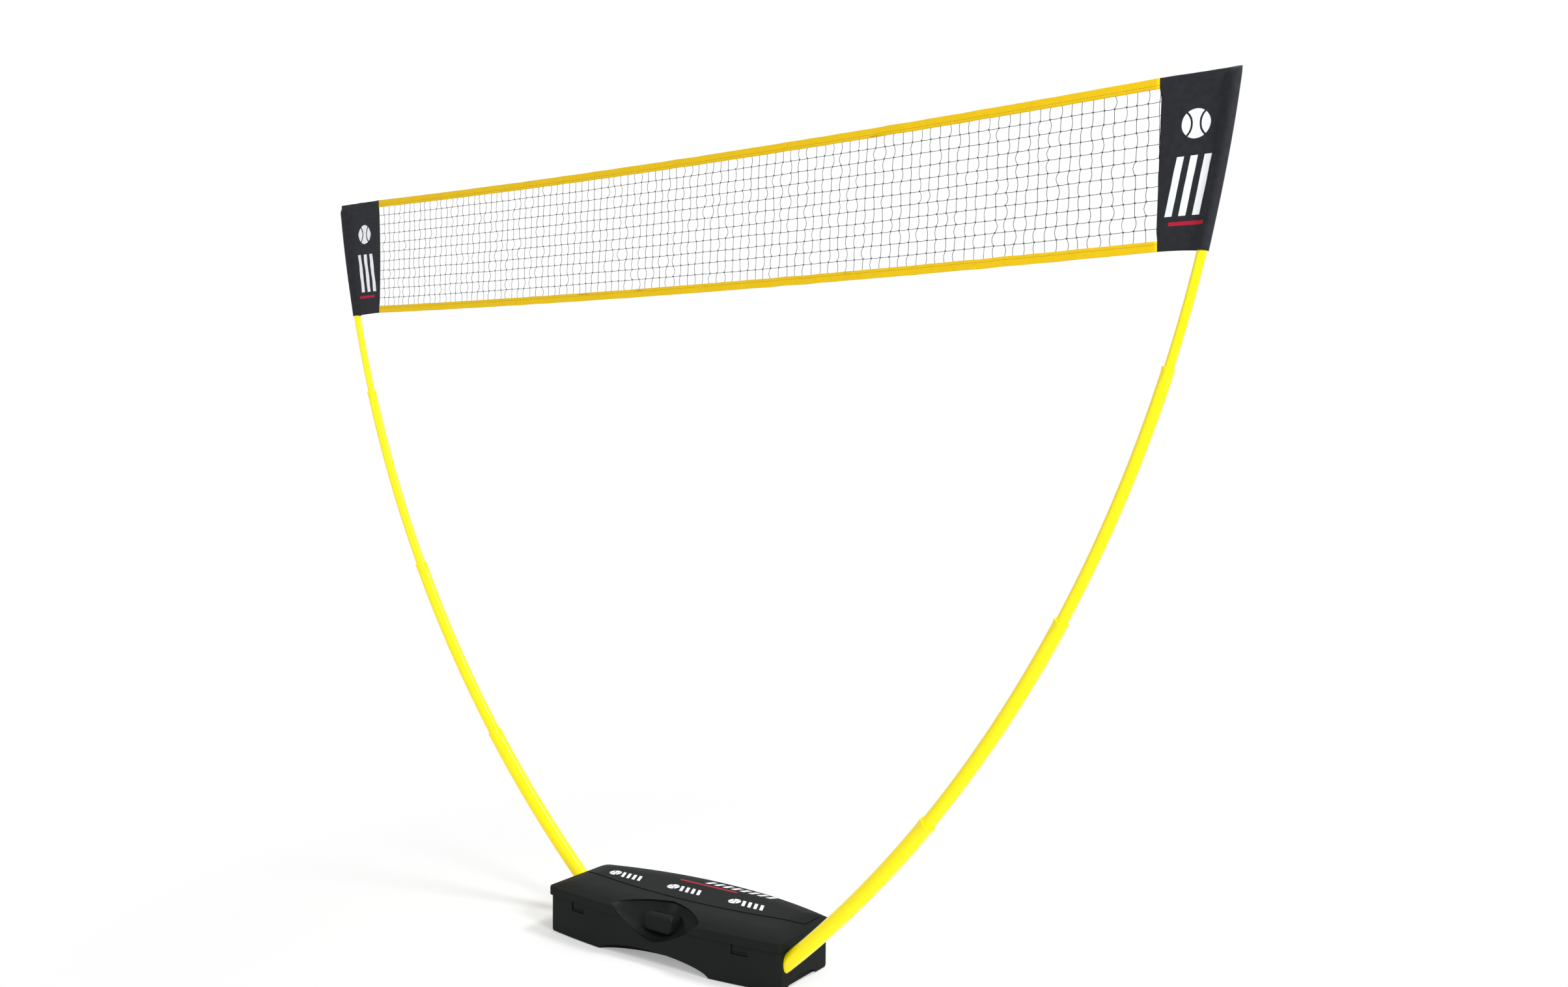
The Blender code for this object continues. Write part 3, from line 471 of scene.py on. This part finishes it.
def start_material(name, colour, **sockets):
    """A Principled material, with its sockets named in small letters and underscores.

    Returns it with its tree and shader, or with neither if it was made before.
    """
    mat = bpy.data.materials.get(name)
    if mat:
        return mat, None, None
    mat = bpy.data.materials.new(name)
    mat.use_nodes = True
    shader = mat.node_tree.nodes["Principled BSDF"]
    shader.inputs["Base Color"].default_value = linear(colour)
    for socket, value in sockets.items():
        shader.inputs[socket.replace("_", " ").title().replace("Ior", "IOR")].default_value = value
    return mat, mat.node_tree, shader


def bump_into(tree, shader, height, strength, distance):
    """Bump a material by a height."""
    normal = add(tree, "ShaderNodeBump", {"Height": height, "Strength": strength, "Distance": distance})
    tree.links.new(normal["Normal"], shader.inputs["Normal"])


def mixed(tree, share, first, second):
    """Two colours mixed by a share. Each is a hex value or a socket."""
    sides = [linear(c) if isinstance(c, str) else c for c in (first, second)]
    return add(tree, "ShaderNodeMix", {0: share, 6: sides[0], 7: sides[1]}, data_type="RGBA")[2]


def calc(tree, operation, *values):
    """One step of arithmetic on numbers or sockets."""
    return add(tree, "ShaderNodeMath", dict(enumerate(values)), operation=operation)[0]


def threads(tree, x, y, pitch):
    """Plain weave of two sets of threads, as a height from 0 to 1."""
    turn = 2 * math.pi / pitch
    across = calc(tree, "SINE", calc(tree, "MULTIPLY", x, turn))
    down = calc(tree, "SINE", calc(tree, "MULTIPLY", y, turn))
    return calc(tree, "MULTIPLY_ADD", calc(tree, "MULTIPLY", across, down), 0.5, 0.5)


def within(tree, value, low, high):
    """1 between two limits and 0 outside them."""
    above = calc(tree, "GREATER_THAN", value, low)
    return calc(tree, "MULTIPLY", above, calc(tree, "LESS_THAN", value, high))


def box_print(tree, x, y, low, high):
    """A printed box between two corners."""
    return calc(tree, "MULTIPLY", within(tree, x, low[0], high[0]), within(tree, y, low[1], high[1]))


def ball_print(tree, x, y, centre, radius):
    """A printed ball: a disc with two curved panel lines left open."""
    place = add(tree, "ShaderNodeCombineXYZ", {0: x, 1: y})[0]

    def distance(dx):
        return add(tree, "ShaderNodeVectorMath", {0: place, 1: (centre[0] + dx, centre[1], 0)},
                   operation="DISTANCE")["Value"]

    disc = calc(tree, "LESS_THAN", distance(0), radius)
    for dx in (-radius * PANEL_ASIDE, radius * PANEL_ASIDE):
        away = calc(tree, "ABSOLUTE", calc(tree, "SUBTRACT", distance(dx), radius * PANEL_RADIUS))
        disc = calc(tree, "MULTIPLY", disc, calc(tree, "GREATER_THAN", away, radius * PANEL_LINE))
    return disc


def bars_print(tree, x, y, low, high, pitch, lean):
    """Slanted bars inside a box."""
    moved = calc(tree, "MULTIPLY_ADD", y, -lean, x)
    share = calc(tree, "FRACT", calc(tree, "DIVIDE", calc(tree, "SUBTRACT", moved, low[0]), pitch))
    bar = calc(tree, "LESS_THAN", share, BAR_SHARE)
    return calc(tree, "MULTIPLY", bar, box_print(tree, moved, y, low, high))


def gel_coated_tube():
    """Glass-fibre tube under a yellow gel coat: hard gloss over a faint ripple of the fibres."""
    c = colours()
    mat, tree, shader = start_material("gel_coated_tube", c.pole, roughness=0.24,
                                       specular_ior_level=0.2,
                                       coat_weight=0.15, coat_roughness=0.10)
    if not tree:
        return mat
    uv = add(tree, "ShaderNodeTexCoord")["UV"]
    stretched = add(tree, "ShaderNodeMapping", {0: uv, 3: (9.0, 160.0, 1.0)})[0]
    cloud = add(tree, "ShaderNodeTexNoise", {0: stretched, "Scale": 1.0, "Detail": 3.0})[0]
    tree.links.new(mixed(tree, calc(tree, "MULTIPLY", cloud, 0.35), c.pole, c.pole_deep),
                   shader.inputs["Base Color"])
    fibres = add(tree, "ShaderNodeMapping", {0: uv, 3: (40.0, 1400.0, 1.0)})[0]
    ripple = add(tree, "ShaderNodeTexNoise", {0: fibres, "Scale": 1.0, "Detail": 2.0})[0]
    bump_into(tree, shader, ripple, 0.03, 0.0003)
    return mat


def moulded_abs():
    """Moulded ABS with a spark-eroded grain: satin, a little paler where hands rub it."""
    c = colours()
    mat, tree, shader = start_material("moulded_abs", c.case, roughness=0.5, specular_ior_level=0.0,
                                       coat_weight=0.17, coat_roughness=0.34)
    if not tree:
        return mat
    place = add(tree, "ShaderNodeTexCoord")["Object"]
    rubbed = add(tree, "ShaderNodeTexNoise", {0: place, "Scale": 14.0, "Detail": 4.0})[0]
    tree.links.new(mixed(tree, calc(tree, "MULTIPLY", rubbed, 0.45), c.case, c.case_worn),
                   shader.inputs["Base Color"])
    tree.links.new(calc(tree, "MULTIPLY_ADD", rubbed, 0.16, 0.26), shader.inputs["Coat Roughness"])
    # The grain is about 0.3 mm on the real case and is drawn at 1 mm, so that it shows
    grain = add(tree, "ShaderNodeTexVoronoi", {0: place, "Scale": 1000.0})[0]
    bump_into(tree, shader, grain, 0.10, 0.0003)
    return mat


def printed_sheet():
    """Glossy polycarbonate sheet, printed on its back: black with white and red marks."""
    c = colours()
    mat, tree, shader = start_material("printed_sheet", c.sheet, roughness=0.4, specular_ior_level=0.0,
                                       coat_weight=0.16, coat_roughness=0.16)
    if not tree:
        return mat
    place = add(tree, "ShaderNodeTexCoord")["Object"]
    x, y = add(tree, "ShaderNodeSeparateXYZ", {0: place})[:2]
    white = bars_print(tree, x, y, *LID_BARS)
    for middle in SIGN_MIDDLES:
        beside = calc(tree, "SUBTRACT", x, middle)
        sign = calc(tree, "MAXIMUM", ball_print(tree, beside, y, *SIGN_BALL),
                    bars_print(tree, beside, y, *SIGN_BARS))
        white = calc(tree, "MAXIMUM", white, sign)
    red = box_print(tree, x, y, *LID_STRIPE)
    inked = mixed(tree, white, c.sheet, c.print_white)
    tree.links.new(mixed(tree, red, inked, c.print_red), shader.inputs["Base Color"])
    smear = add(tree, "ShaderNodeTexNoise", {0: place, "Scale": 30.0, "Detail": 3.0})[0]
    tree.links.new(calc(tree, "MULTIPLY_ADD", smear, 0.16, 0.08), shader.inputs["Coat Roughness"])
    return mat


def woven_nylon():
    """Coated oxford nylon: a close plain weave with a dull sheen, printed in white and red."""
    c = colours()
    mat, tree, shader = start_material("woven_nylon", c.sleeve, roughness=0.6, specular_ior_level=0.06,
                                       sheen_weight=0.05, sheen_roughness=0.45)
    if not tree:
        return mat
    uv = add(tree, "ShaderNodeTexCoord")["UV"]
    x, y = add(tree, "ShaderNodeSeparateXYZ", {0: uv})[:2]
    # The threads lie 0.5 mm apart on the real cloth and are drawn 1.6 mm apart, so that they show
    weave = threads(tree, x, y, 0.0016)
    slub = add(tree, "ShaderNodeTexNoise", {0: uv, "Scale": 60.0, "Detail": 5.0})[0]
    dark = mixed(tree, calc(tree, "MULTIPLY", slub, calc(tree, "MULTIPLY_ADD", weave, 0.5, 0.5)),
                 c.sleeve, c.sleeve_pale)
    white = calc(tree, "MAXIMUM", ball_print(tree, x, y, *SLEEVE_BALL),
                 bars_print(tree, x, y, *SLEEVE_BARS))
    red = box_print(tree, x, y, *SLEEVE_STRIPE)
    inked = mixed(tree, white, dark, c.print_white)
    tree.links.new(mixed(tree, red, inked, c.print_red), shader.inputs["Base Color"])
    bump_into(tree, shader, calc(tree, "MULTIPLY_ADD", weave, 0.6, slub), 0.35, 0.0005)
    return mat


def woven_tape():
    """Golden polyester webbing: ribs across the tape, a row of lock stitches near each edge, and painted
    shade in the hollows between the ribs.
    """
    c = colours()
    mat, tree, shader = start_material("woven_tape", c.tape, roughness=0.7, specular_ior_level=0.1,
                                       sheen_weight=0.05, sheen_roughness=0.5)
    if not tree:
        return mat
    uv = add(tree, "ShaderNodeTexCoord")["UV"]
    x, y = add(tree, "ShaderNodeSeparateXYZ", {0: uv})[:2]
    # The ribs lie 0.8 mm apart on the real webbing and are drawn 1.8 mm apart, so that they show
    weave = threads(tree, x, y, 0.0018)
    soil = add(tree, "ShaderNodeTexNoise", {0: uv, "Scale": 22.0, "Detail": 5.0})[0]
    gold = mixed(tree, calc(tree, "MULTIPLY", soil, 0.34), c.tape, c.tape_soil_and_shade)
    # Painted shade: the hollows between the weave's ribs are darkened towards the deep colour
    gold = mixed(tree, calc(tree, "MULTIPLY", calc(tree, "SUBTRACT", 1.0, weave), 0.18), gold, c.tape_soil_and_shade)
    stitch = calc(tree, "MULTIPLY", within(tree, y, 0.0070, 0.0081),
                  calc(tree, "LESS_THAN", calc(tree, "FRACT", calc(tree, "DIVIDE", x, 0.0045)), 0.7))
    tree.links.new(mixed(tree, stitch, gold, c.thread), shader.inputs["Base Color"])
    bump_into(tree, shader, calc(tree, "SUBTRACT", weave, stitch), 0.4, 0.0005)
    return mat


def knotted_twine():
    """Twisted polyester twine, dark and dull."""
    mat, tree, shader = start_material("knotted_twine", colours().cord, roughness=0.75)
    if not tree:
        return mat
    place = add(tree, "ShaderNodeTexCoord")["Object"]
    twist = add(tree, "ShaderNodeTexWave", {0: place, "Scale": 260.0, "Distortion": 1.5},
                bands_direction="DIAGONAL")[1]
    bump_into(tree, shader, twist, 0.5, 0.0003)
    return mat


def moulded_rubber():
    """Moulded rubber of the caps and plugs: nearly black, dull and a little mottled."""
    mat, tree, shader = start_material("moulded_rubber", colours().rubber, roughness=0.8)
    if not tree:
        return mat
    place = add(tree, "ShaderNodeTexCoord")["Object"]
    mottle = add(tree, "ShaderNodeTexNoise", {0: place, "Scale": 400.0, "Detail": 3.0})[0]
    tree.links.new(calc(tree, "MULTIPLY_ADD", mottle, 0.2, 0.68), shader.inputs["Roughness"])
    bump_into(tree, shader, mottle, 0.2, 0.0003)
    return mat


def zinc_plated_steel():
    """Drawn steel wire with a zinc plating: bright, with fine lines along it."""
    mat, tree, shader = start_material("zinc_plated_steel", colours().steel, roughness=0.32, metallic=1.0)
    if not tree:
        return mat
    place = add(tree, "ShaderNodeTexCoord")["Object"]
    drawn = add(tree, "ShaderNodeMapping", {0: place, 3: (30.0, 900.0, 900.0)})[0]
    lines = add(tree, "ShaderNodeTexNoise", {0: drawn, "Scale": 1.0})[0]
    tree.links.new(calc(tree, "MULTIPLY_ADD", lines, 0.25, 0.2), shader.inputs["Roughness"])
    return mat


# Pieces


class NETSET_OT_poles(bpy.types.Operator):
    """Make the four nested tubes of each pole, and finish the plugs, caps, sockets and hinge pins"""

    bl_idname = "netset.poles"
    bl_label = "Poles"

    def execute(self, context):
        for side_name in SIDES:
            for index in range(len(TUBE_RADII)):
                node = f"{side_name}_pole_section_{index + 1}"
                bm = swept(side_name, section_stations(index), sizes().sides)
                along_and_round(bm, side_name)
                body = TUBE_BODIES[index].format(side_name)
                name = f"{side_name}_tube_{index + 1}"
                tube = piece_from(bm, name, body, gel_coated_tube())
                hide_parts(node)
            for part, mat in (("tip_cap", moulded_rubber()), ("base_plug", moulded_rubber()),
                              ("pole_socket", moulded_abs()), ("hinge_pin", zinc_plated_steel())):
                refinish(f"{side_name}_{part}", mat)
        return {"FINISHED"}


def refinish(node, mat):
    """Give a node of the solid model, which keeps its shape, its material."""
    mesh = frame["nodes"][node].data
    mesh.materials.clear()
    mesh.materials.append(mat)


class NETSET_OT_netting(bpy.types.Operator):
    """Knot the netting: upright cords that stray a little, level cords and a knot at each crossing"""

    bl_idname = "netset.netting"
    bl_label = "Netting"

    def execute(self, context):
        guide = bpy.data.curves.new("netting_guide", "CURVE")
        guide.dimensions = "3D"
        guide.bevel_depth = sizes().cord / 2
        guide.bevel_resolution = 0
        guide.use_fill_caps = True
        for column in range(sizes().cells_long + 1):
            self.run(guide, self.upright(column))
        for row in range(sizes().cells_high + 1):
            self.run(guide, self.level(row))
        holder = bpy.data.objects.new("netting_guide", guide)
        context.scene.collection.objects.link(holder)
        context.view_layer.update()
        cords = bpy.data.meshes.new_from_object(holder.evaluated_get(context.evaluated_depsgraph_get()))
        bpy.data.objects.remove(holder)
        bm = bmesh.new()
        bm.from_mesh(cords)
        for column in range(1, sizes().cells_long):
            for row in range(1, sizes().cells_high):
                place = Matrix.Translation(on_net(*self.knot_at(column, row)))
                place = place @ Matrix.Diagonal((1, KNOT_FLATNESS, 1, 1))
                bmesh.ops.create_icosphere(bm, subdivisions=1, radius=sizes().knot / 2, matrix=place)
        bm.normal_update()
        netting = piece_from(bm, "netting", "net", knotted_twine(), sharp=60.0)
        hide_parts("net_mesh")
        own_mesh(netting)
        return {"FINISHED"}

    @staticmethod
    def knot_at(column, row):
        """Where two cords cross, from -1 to 1 along the net and from 0 to 1 up it."""
        columns, rows = sizes().cells_long, sizes().cells_high
        low = TAPE_HEIGHT / NET_HEIGHT * EDGE_CORD_AT
        share = low + (1 - 2 * low) * row / rows
        along = 2 * column / columns - 1
        stray = wander(column, share, 2.0) * CORD_STRAY / NET_HALF * (0 < column < columns)
        lean = (share - 0.5) * NET_LEAN / NET_HALF * (1 - along ** 8)
        lift = wander(row * 7 + column * 0.2, share, 5.0) * CORD_LIFT / NET_HEIGHT * (0 < row < rows)
        return along + stray + lean, share + lift

    def upright(self, column):
        """Points of a cord from the bottom tape to the top one, which bows from knot to knot."""
        rows, slack = sizes().cells_high, sizes().slack
        points = []
        for row in range(rows):
            (a0, z0), (a1, z1) = self.knot_at(column, row), self.knot_at(column, row + 1)
            for i in range(CORD_STEPS + (row == rows - 1)):
                t = i / CORD_STEPS
                bow = math.sin(math.pi * t) * wander(column * 5 + row * 1.3, row * 0.4, 9.0) * slack
                points.append(on_net(a0 + (a1 - a0) * t + bow / NET_HALF, z0 + (z1 - z0) * t, bow * 0.4))
        return points

    def level(self, row):
        """Points of a cord from sleeve to sleeve, which dips between knots and runs into both seams."""
        columns = sizes().cells_long
        points = [on_net(-1 - SEAM_RUN / NET_HALF, self.knot_at(0, row)[1])]
        for column in range(columns):
            (a0, z0), (a1, z1) = self.knot_at(column, row), self.knot_at(column + 1, row)
            points += [on_net(a0, z0), on_net((a0 + a1) / 2, (z0 + z1) / 2 - CORD_DIP / NET_HEIGHT)]
        return points + [on_net(1 + SEAM_RUN / NET_HALF, self.knot_at(columns, row)[1])]

    @staticmethod
    def run(curve, points):
        """Add a cord through points."""
        spline = curve.splines.new("POLY")
        spline.points.add(len(points) - 1)
        for target, point in zip(spline.points, points):
            target.co = (*point, 1)


class NETSET_OT_tapes(bpy.types.Operator):
    """Fold and sew the tapes over the net's upper and lower edges"""

    bl_idname = "netset.tapes"
    bl_label = "Tapes"

    def execute(self, context):
        for name, top in (("top_tape", True), ("bottom_tape", False)):
            tape = self.folded(name + "_webbing", top)
            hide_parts(name)
            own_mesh(tape)
        return {"FINISHED"}

    @staticmethod
    def folded(name, top):
        """One strip, folded lengthways over the net's edge, with small puckers along its seam."""
        fold = TAPE_DEPTH / 2 - TAPE_CLOTH / 2
        profile = [(-fold, i / TAPE_STEPS * (TAPE_HEIGHT - fold)) for i in range(TAPE_STEPS + 1)]
        profile += [(-fold * math.cos(a), TAPE_HEIGHT - fold + fold * math.sin(a))
                    for a in (math.pi / 4, math.pi / 2, 3 * math.pi / 4)]
        profile += [(fold, i / TAPE_STEPS * (TAPE_HEIGHT - fold)) for i in range(TAPE_STEPS, -1, -1)]
        rows = len(profile) - 1
        bm = bmesh.new()
        bmesh.ops.create_grid(bm, x_segments=TAPE_STATIONS, y_segments=rows, size=1.0)
        layer = bm.loops.layers.uv.new("UVMap")
        strip = {}
        for vert in bm.verts:
            along = vert.co.x
            index = round((vert.co.y + 1) / 2 * rows)
            depth, height = profile[index]
            if not top:
                height = TAPE_HEIGHT - height
            x = along * NET_HALF
            strip[vert] = (x, min(index, rows - index) / TAPE_STEPS * TAPE_HEIGHT)
            free = 1 - along ** 8
            ripple = noise.noise(Vector((x * 9, 3.0 + top, 0))) * TAPE_RIPPLE
            pucker = noise.noise(Vector((x * 70, height * 90, top * 4.0))) * TAPE_PUCKER
            droop = noise.noise(Vector((x * 16, 8.0 + top, 1.0))) * TAPE_DROOP
            z = (NET_TOP - TAPE_HEIGHT if top else NET_BOTTOM) + height - sag_of(float(top), along)
            point = on_net(along * (1 - TAPE_END_GAP), 0, depth + (ripple + pucker) * free)
            vert.co = (point.x, point.y, z + droop * free)
        lay_out(bm, layer, strip)
        bmesh.ops.recalc_face_normals(bm, faces=bm.faces[:])
        tape = piece_from(bm, name, "net", woven_tape(), sharp=60.0)
        thicken(tape, TAPE_CLOTH)
        return tape


def round_the_pole(d, start, centre, radius):
    """Where cloth is at a length from its front seam: how far out, and its side from -1 to 1.

    It runs out along the front, half round the pole and in again along the back.
    """
    straight = centre - start
    if d < straight:
        return start + d, -1.0
    if d <= straight + math.pi * radius:
        turn = (d - straight) / radius
        return centre + radius * math.sin(turn), -math.cos(turn)
    return start + 2 * straight + math.pi * radius - d, 1.0


def wrinkles(s, z, side):
    """Slanted wrinkles of the nylon, as a height: wide ones with narrower ones across them."""
    along = s * WRINKLE_RUN[0] + z * WRINKLE_RUN[1]
    across = -s * WRINKLE_RUN[1] + z * WRINKLE_RUN[0]
    wide = noise.noise(Vector((along * 9, across * 42, side * 5.0)))
    return wide + 0.45 * noise.noise(Vector((along * 30, across * 70, side * 9.0)))


class NETSET_OT_sleeves(bpy.types.Operator):
    """Sew the nylon sleeves: one cloth folded round the pole and closed at the top"""

    bl_idname = "netset.sleeves"
    bl_label = "Sleeves"

    def execute(self, context):
        for side_name, node_body in (("right", "net"), ("left", "left_end")):
            sleeve, area, width = self.sewn(side_name)
            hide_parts(side_name + "_sleeve")
            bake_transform(sleeve)
        return {"FINISHED"}

    @staticmethod
    def sewn(side_name):
        """One sleeve with its cloth's area and width, sewn from one seam round the pole to the other."""
        side = SIDES[side_name]
        cloth = sizes().sleeve_cloth
        wrap = TUBE_RADII[-1] + POCKET_GAP + cloth / 2
        tip = section_span(len(TUBE_RADII) - 1)[1] + CAP_LENGTH
        tip_z = bow_place(side_name, tip).translation.z
        inner = NET_HALF / math.cos(NET_TURN)
        bm = bmesh.new()
        bmesh.ops.create_grid(bm, x_segments=SLEEVE_COLUMNS, y_segments=SLEEVE_ROWS, size=1.0)
        layer = bm.loops.layers.uv.new("UVMap")
        flat = {}
        for vert in bm.verts:
            u, v = (vert.co.x + 1) / 2, (vert.co.y + 1) / 2
            z = NET_BOTTOM + v * NET_HEIGHT
            pole = bow_place(side_name, bow_at_height(side_name, z)).translation
            outer = pole.dot(NET_ALONG) * side + wrap
            closing = eased((z - tip_z + CLOSING_START) / CLOSING_RUN)
            radius = wrap + (cloth * FOLD_RADIUS - wrap) * closing
            centre = outer - radius
            clear = min(max((min(v, 1 - v) * NET_HEIGHT - TAPE_HEIGHT) / EDGE_CLEAR, 0), 1)
            start = inner + clear * (EDGE_LEAN[side_name] * (v - EDGE_PIVOT)
                                     + EDGE_BOW[side_name] * math.sin(math.pi * v))
            d = u * (2 * (centre - start) + math.pi * radius)
            s, n = round_the_pole(d, start, centre, radius)
            near = eased((s - centre + POCKET_RAMP) / POCKET_RAMP)
            edge = min((s - start) / SEAM_TAPER, (1 - v) * NET_HEIGHT / SEAM_TAPER, 1.0)
            flat_gap = cloth * (LAYER_GAP + LAYER_SPREAD * max(edge, 0))
            half_gap = flat_gap + (radius - flat_gap) * near
            across = (s - start) / (outer - start)
            drop = FOOT_DROP * across ** 2 * (1 - v) ** 6
            offset = pole.dot(NET_BACK) * min(max((s - start) / (centre - start), 0), 1)
            free = (1 - near) * min((s - start) / WRINKLE_FADE, 1)
            depth = sizes().wrinkle * wrinkles(s, z, side) * free * (WRINKLE_FOOT + WRINKLE_GAIN * v ** 1.5)
            pocket = POCKET_RIPPLE * noise.noise(Vector((z * 60, s * 40, side))) * near
            out = n * (half_gap + pocket) + offset + depth
            point = NET_ALONG * (side * s) + NET_BACK * out
            vert.co = (point.x, point.y, z - drop)
            flat[vert] = (d, v * NET_HEIGHT)
        lay_out(bm, layer, flat)
        bmesh.ops.recalc_face_normals(bm, faces=bm.faces[:])
        area = sum(f.calc_area() for f in bm.faces)
        width = max(u for u, _ in flat.values())
        name = side_name + "_sleeve_cloth"
        sleeve = piece_from(bm, name, None, woven_nylon(), sharp=60.0)
        thicken(sleeve, cloth)
        return sleeve, area, width


def refined(node, name, body, mat, edge):
    """A finer copy of a moulded node: merged, with its sharp edges rounded."""
    bm = bmesh.new()
    bm.from_mesh(frame["nodes"][node].data)
    bmesh.ops.remove_doubles(bm, verts=bm.verts[:], dist=WELD)
    bmesh.ops.dissolve_limit(bm, angle_limit=FLAT_ANGLE, verts=bm.verts[:], edges=bm.edges[:])
    bmesh.ops.remove_doubles(bm, verts=bm.verts[:], dist=edge / 4)
    sharp = [e for e in bm.edges if len(e.link_faces) == 2 and e.calc_face_angle(0) > SHARP_ANGLE]
    bmesh.ops.bevel(bm, geom=sharp, offset=edge, segments=2, profile=0.5, affect="EDGES", material=-1,
                    clamp_overlap=True)
    piece = piece_from(bm, name, body, mat, sharp=34.0)
    even = piece.modifiers.new("even_shading", "WEIGHTED_NORMAL")
    even.keep_sharp = True
    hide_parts(node)


class NETSET_OT_case(bpy.types.Operator):
    """Finish the case: tub, lid, glossy sheet, carry handle and latches"""

    bl_idname = "netset.case"
    bl_label = "Case"

    def execute(self, context):
        edge = sizes().edge
        refined("lower_shell", "case_tub", "case", moulded_abs(), edge)
        refined("lid", "case_lid", "lid", moulded_abs(), edge)
        refined("lid_panel", "lid_sheet", "lid", printed_sheet(), edge / 4)
        refined("carry_handle", "grip", "case", moulded_abs(), edge)
        for side_name in SIDES:
            refined(side_name + "_latch_button", side_name + "_latch", side_name + "_latch",
                    moulded_abs(), edge / 3)
        return {"FINISHED"}


def seen_rays(tree):
    """1 for what the eye sees, straight, mirrored or through glass, and 0 for light."""
    rays = add(tree, "ShaderNodeLightPath")
    seen = calc(tree, "MAXIMUM", rays["Is Glossy Ray"], rays["Is Transmission Ray"])
    return calc(tree, "MAXIMUM", rays["Is Camera Ray"], seen)


class NETSET_OT_stage(bpy.types.Operator):
    """Lay the floor, hang the lamps and place the camera as in the photograph"""

    bl_idname = "netset.stage"
    bl_label = "Stage"

    def execute(self, context):
        scene = context.scene
        scene.view_settings.view_transform = "Standard"
        self.floor(scene)
        self.sky(scene)
        for lamp in LAMPS:
            self.lamp(scene, *lamp)
        lens = bpy.data.cameras.new("camera")
        lens.lens = CAMERA_LENS
        lens.sensor_width = CAMERA_SENSOR
        lens.clip_end = 100
        camera = bpy.data.objects.new("camera", lens)
        scene.collection.objects.link(camera)
        camera.matrix_world = (
            Matrix.Translation(CAMERA_PLACE)
            @ Matrix.Rotation(math.radians(CAMERA_YAW), 4, "Z")
            @ Matrix.Rotation(math.radians(90 + CAMERA_PITCH), 4, "X")
            @ Matrix.Rotation(math.radians(CAMERA_ROLL), 4, "Z")
        )
        scene.camera = camera
        return {"FINISHED"}

    @staticmethod
    def floor(scene):
        """A pale floor that turns white to the eye away from the object."""
        bm = bmesh.new()
        bmesh.ops.create_circle(bm, cap_ends=True, segments=96, radius=FLOOR_RADIUS)
        mesh = bpy.data.meshes.new("floor")
        bm.to_mesh(mesh)
        bm.free()
        floor = bpy.data.objects.new("floor", mesh)
        scene.collection.objects.link(floor)
        mat, tree, shader = start_material("studio_floor", colours().floor, roughness=0.9)
        mesh.materials.append(mat)
        place = add(tree, "ShaderNodeTexCoord")["Object"]
        away = add(tree, "ShaderNodeVectorMath", {0: place}, operation="LENGTH")["Value"]
        far = add(tree, "ShaderNodeMapRange", {0: away, 1: WHITE_FROM, 2: WHITE_BY, 3: 0.3, 4: 1.0})[0]
        seen = seen_rays(tree)
        white = add(tree, "ShaderNodeEmission", {"Strength": 1.0})[0]
        blend = add(tree, "ShaderNodeMixShader", {0: calc(tree, "MULTIPLY", far, seen),
                                                  1: shader.outputs[0], 2: white})[0]
        tree.links.new(blend, tree.nodes["Material Output"].inputs["Surface"])

    @staticmethod
    def sky(scene):
        """A white world to the eye and in reflections, and a softer one as light."""
        world = bpy.data.worlds.new("studio")
        world.use_nodes = True
        scene.world = world
        tree = world.node_tree
        strength = calc(tree, "MULTIPLY_ADD", seen_rays(tree), 1 - SKY_LIGHT, SKY_LIGHT)
        background = tree.nodes["Background"]
        background.inputs["Color"].default_value = (1, 1, 1, 1)
        tree.links.new(strength, background.inputs["Strength"])

    @staticmethod
    def lamp(scene, name, place, size, power):
        """Hang a round lamp that shines at the middle of the scene."""
        light = bpy.data.lights.new(name, "AREA")
        light.shape = "DISK"
        light.size = size
        light.energy = power
        lamp = bpy.data.objects.new(name, light)
        scene.collection.objects.link(lamp)
        lamp.location = place
        aim = LAMP_AIM - Vector(place)
        lamp.rotation_euler = aim.to_track_quat("-Z", "Y").to_euler()


class NETSET_PT_panel(bpy.types.Panel):
    """Lists the net set's operators"""

    bl_idname = "NETSET_PT_panel"
    bl_label = "Net set"
    bl_space_type = "VIEW_3D"
    bl_region_type = "UI"
    bl_category = "Net set"

    def draw(self, context):
        for operator in OPERATORS:
            self.layout.operator(operator.bl_idname)


OPERATORS = (NETSET_OT_stage, NETSET_OT_case, NETSET_OT_poles, NETSET_OT_netting, NETSET_OT_tapes,
             NETSET_OT_sleeves)
CLASSES = (NetSetSizes, NetSetColours, *OPERATORS, NETSET_PT_panel)


def register():
    for cls in CLASSES:
        bpy.utils.register_class(cls)
    bpy.types.Scene.net_set_sizes = PointerProperty(type=NetSetSizes)
    bpy.types.Scene.net_set_colours = PointerProperty(type=NetSetColours)


def unregister():
    del bpy.types.Scene.net_set_colours
    del bpy.types.Scene.net_set_sizes
    for cls in reversed(CLASSES):
        bpy.utils.unregister_class(cls)


def main():
    register()
    bpy.ops.netset.stage()
    bpy.ops.netset.case()
    bpy.ops.netset.poles()
    bpy.ops.netset.netting()
    bpy.ops.netset.tapes()
    bpy.ops.netset.sleeves()


if __name__ == "__main__":
    main()
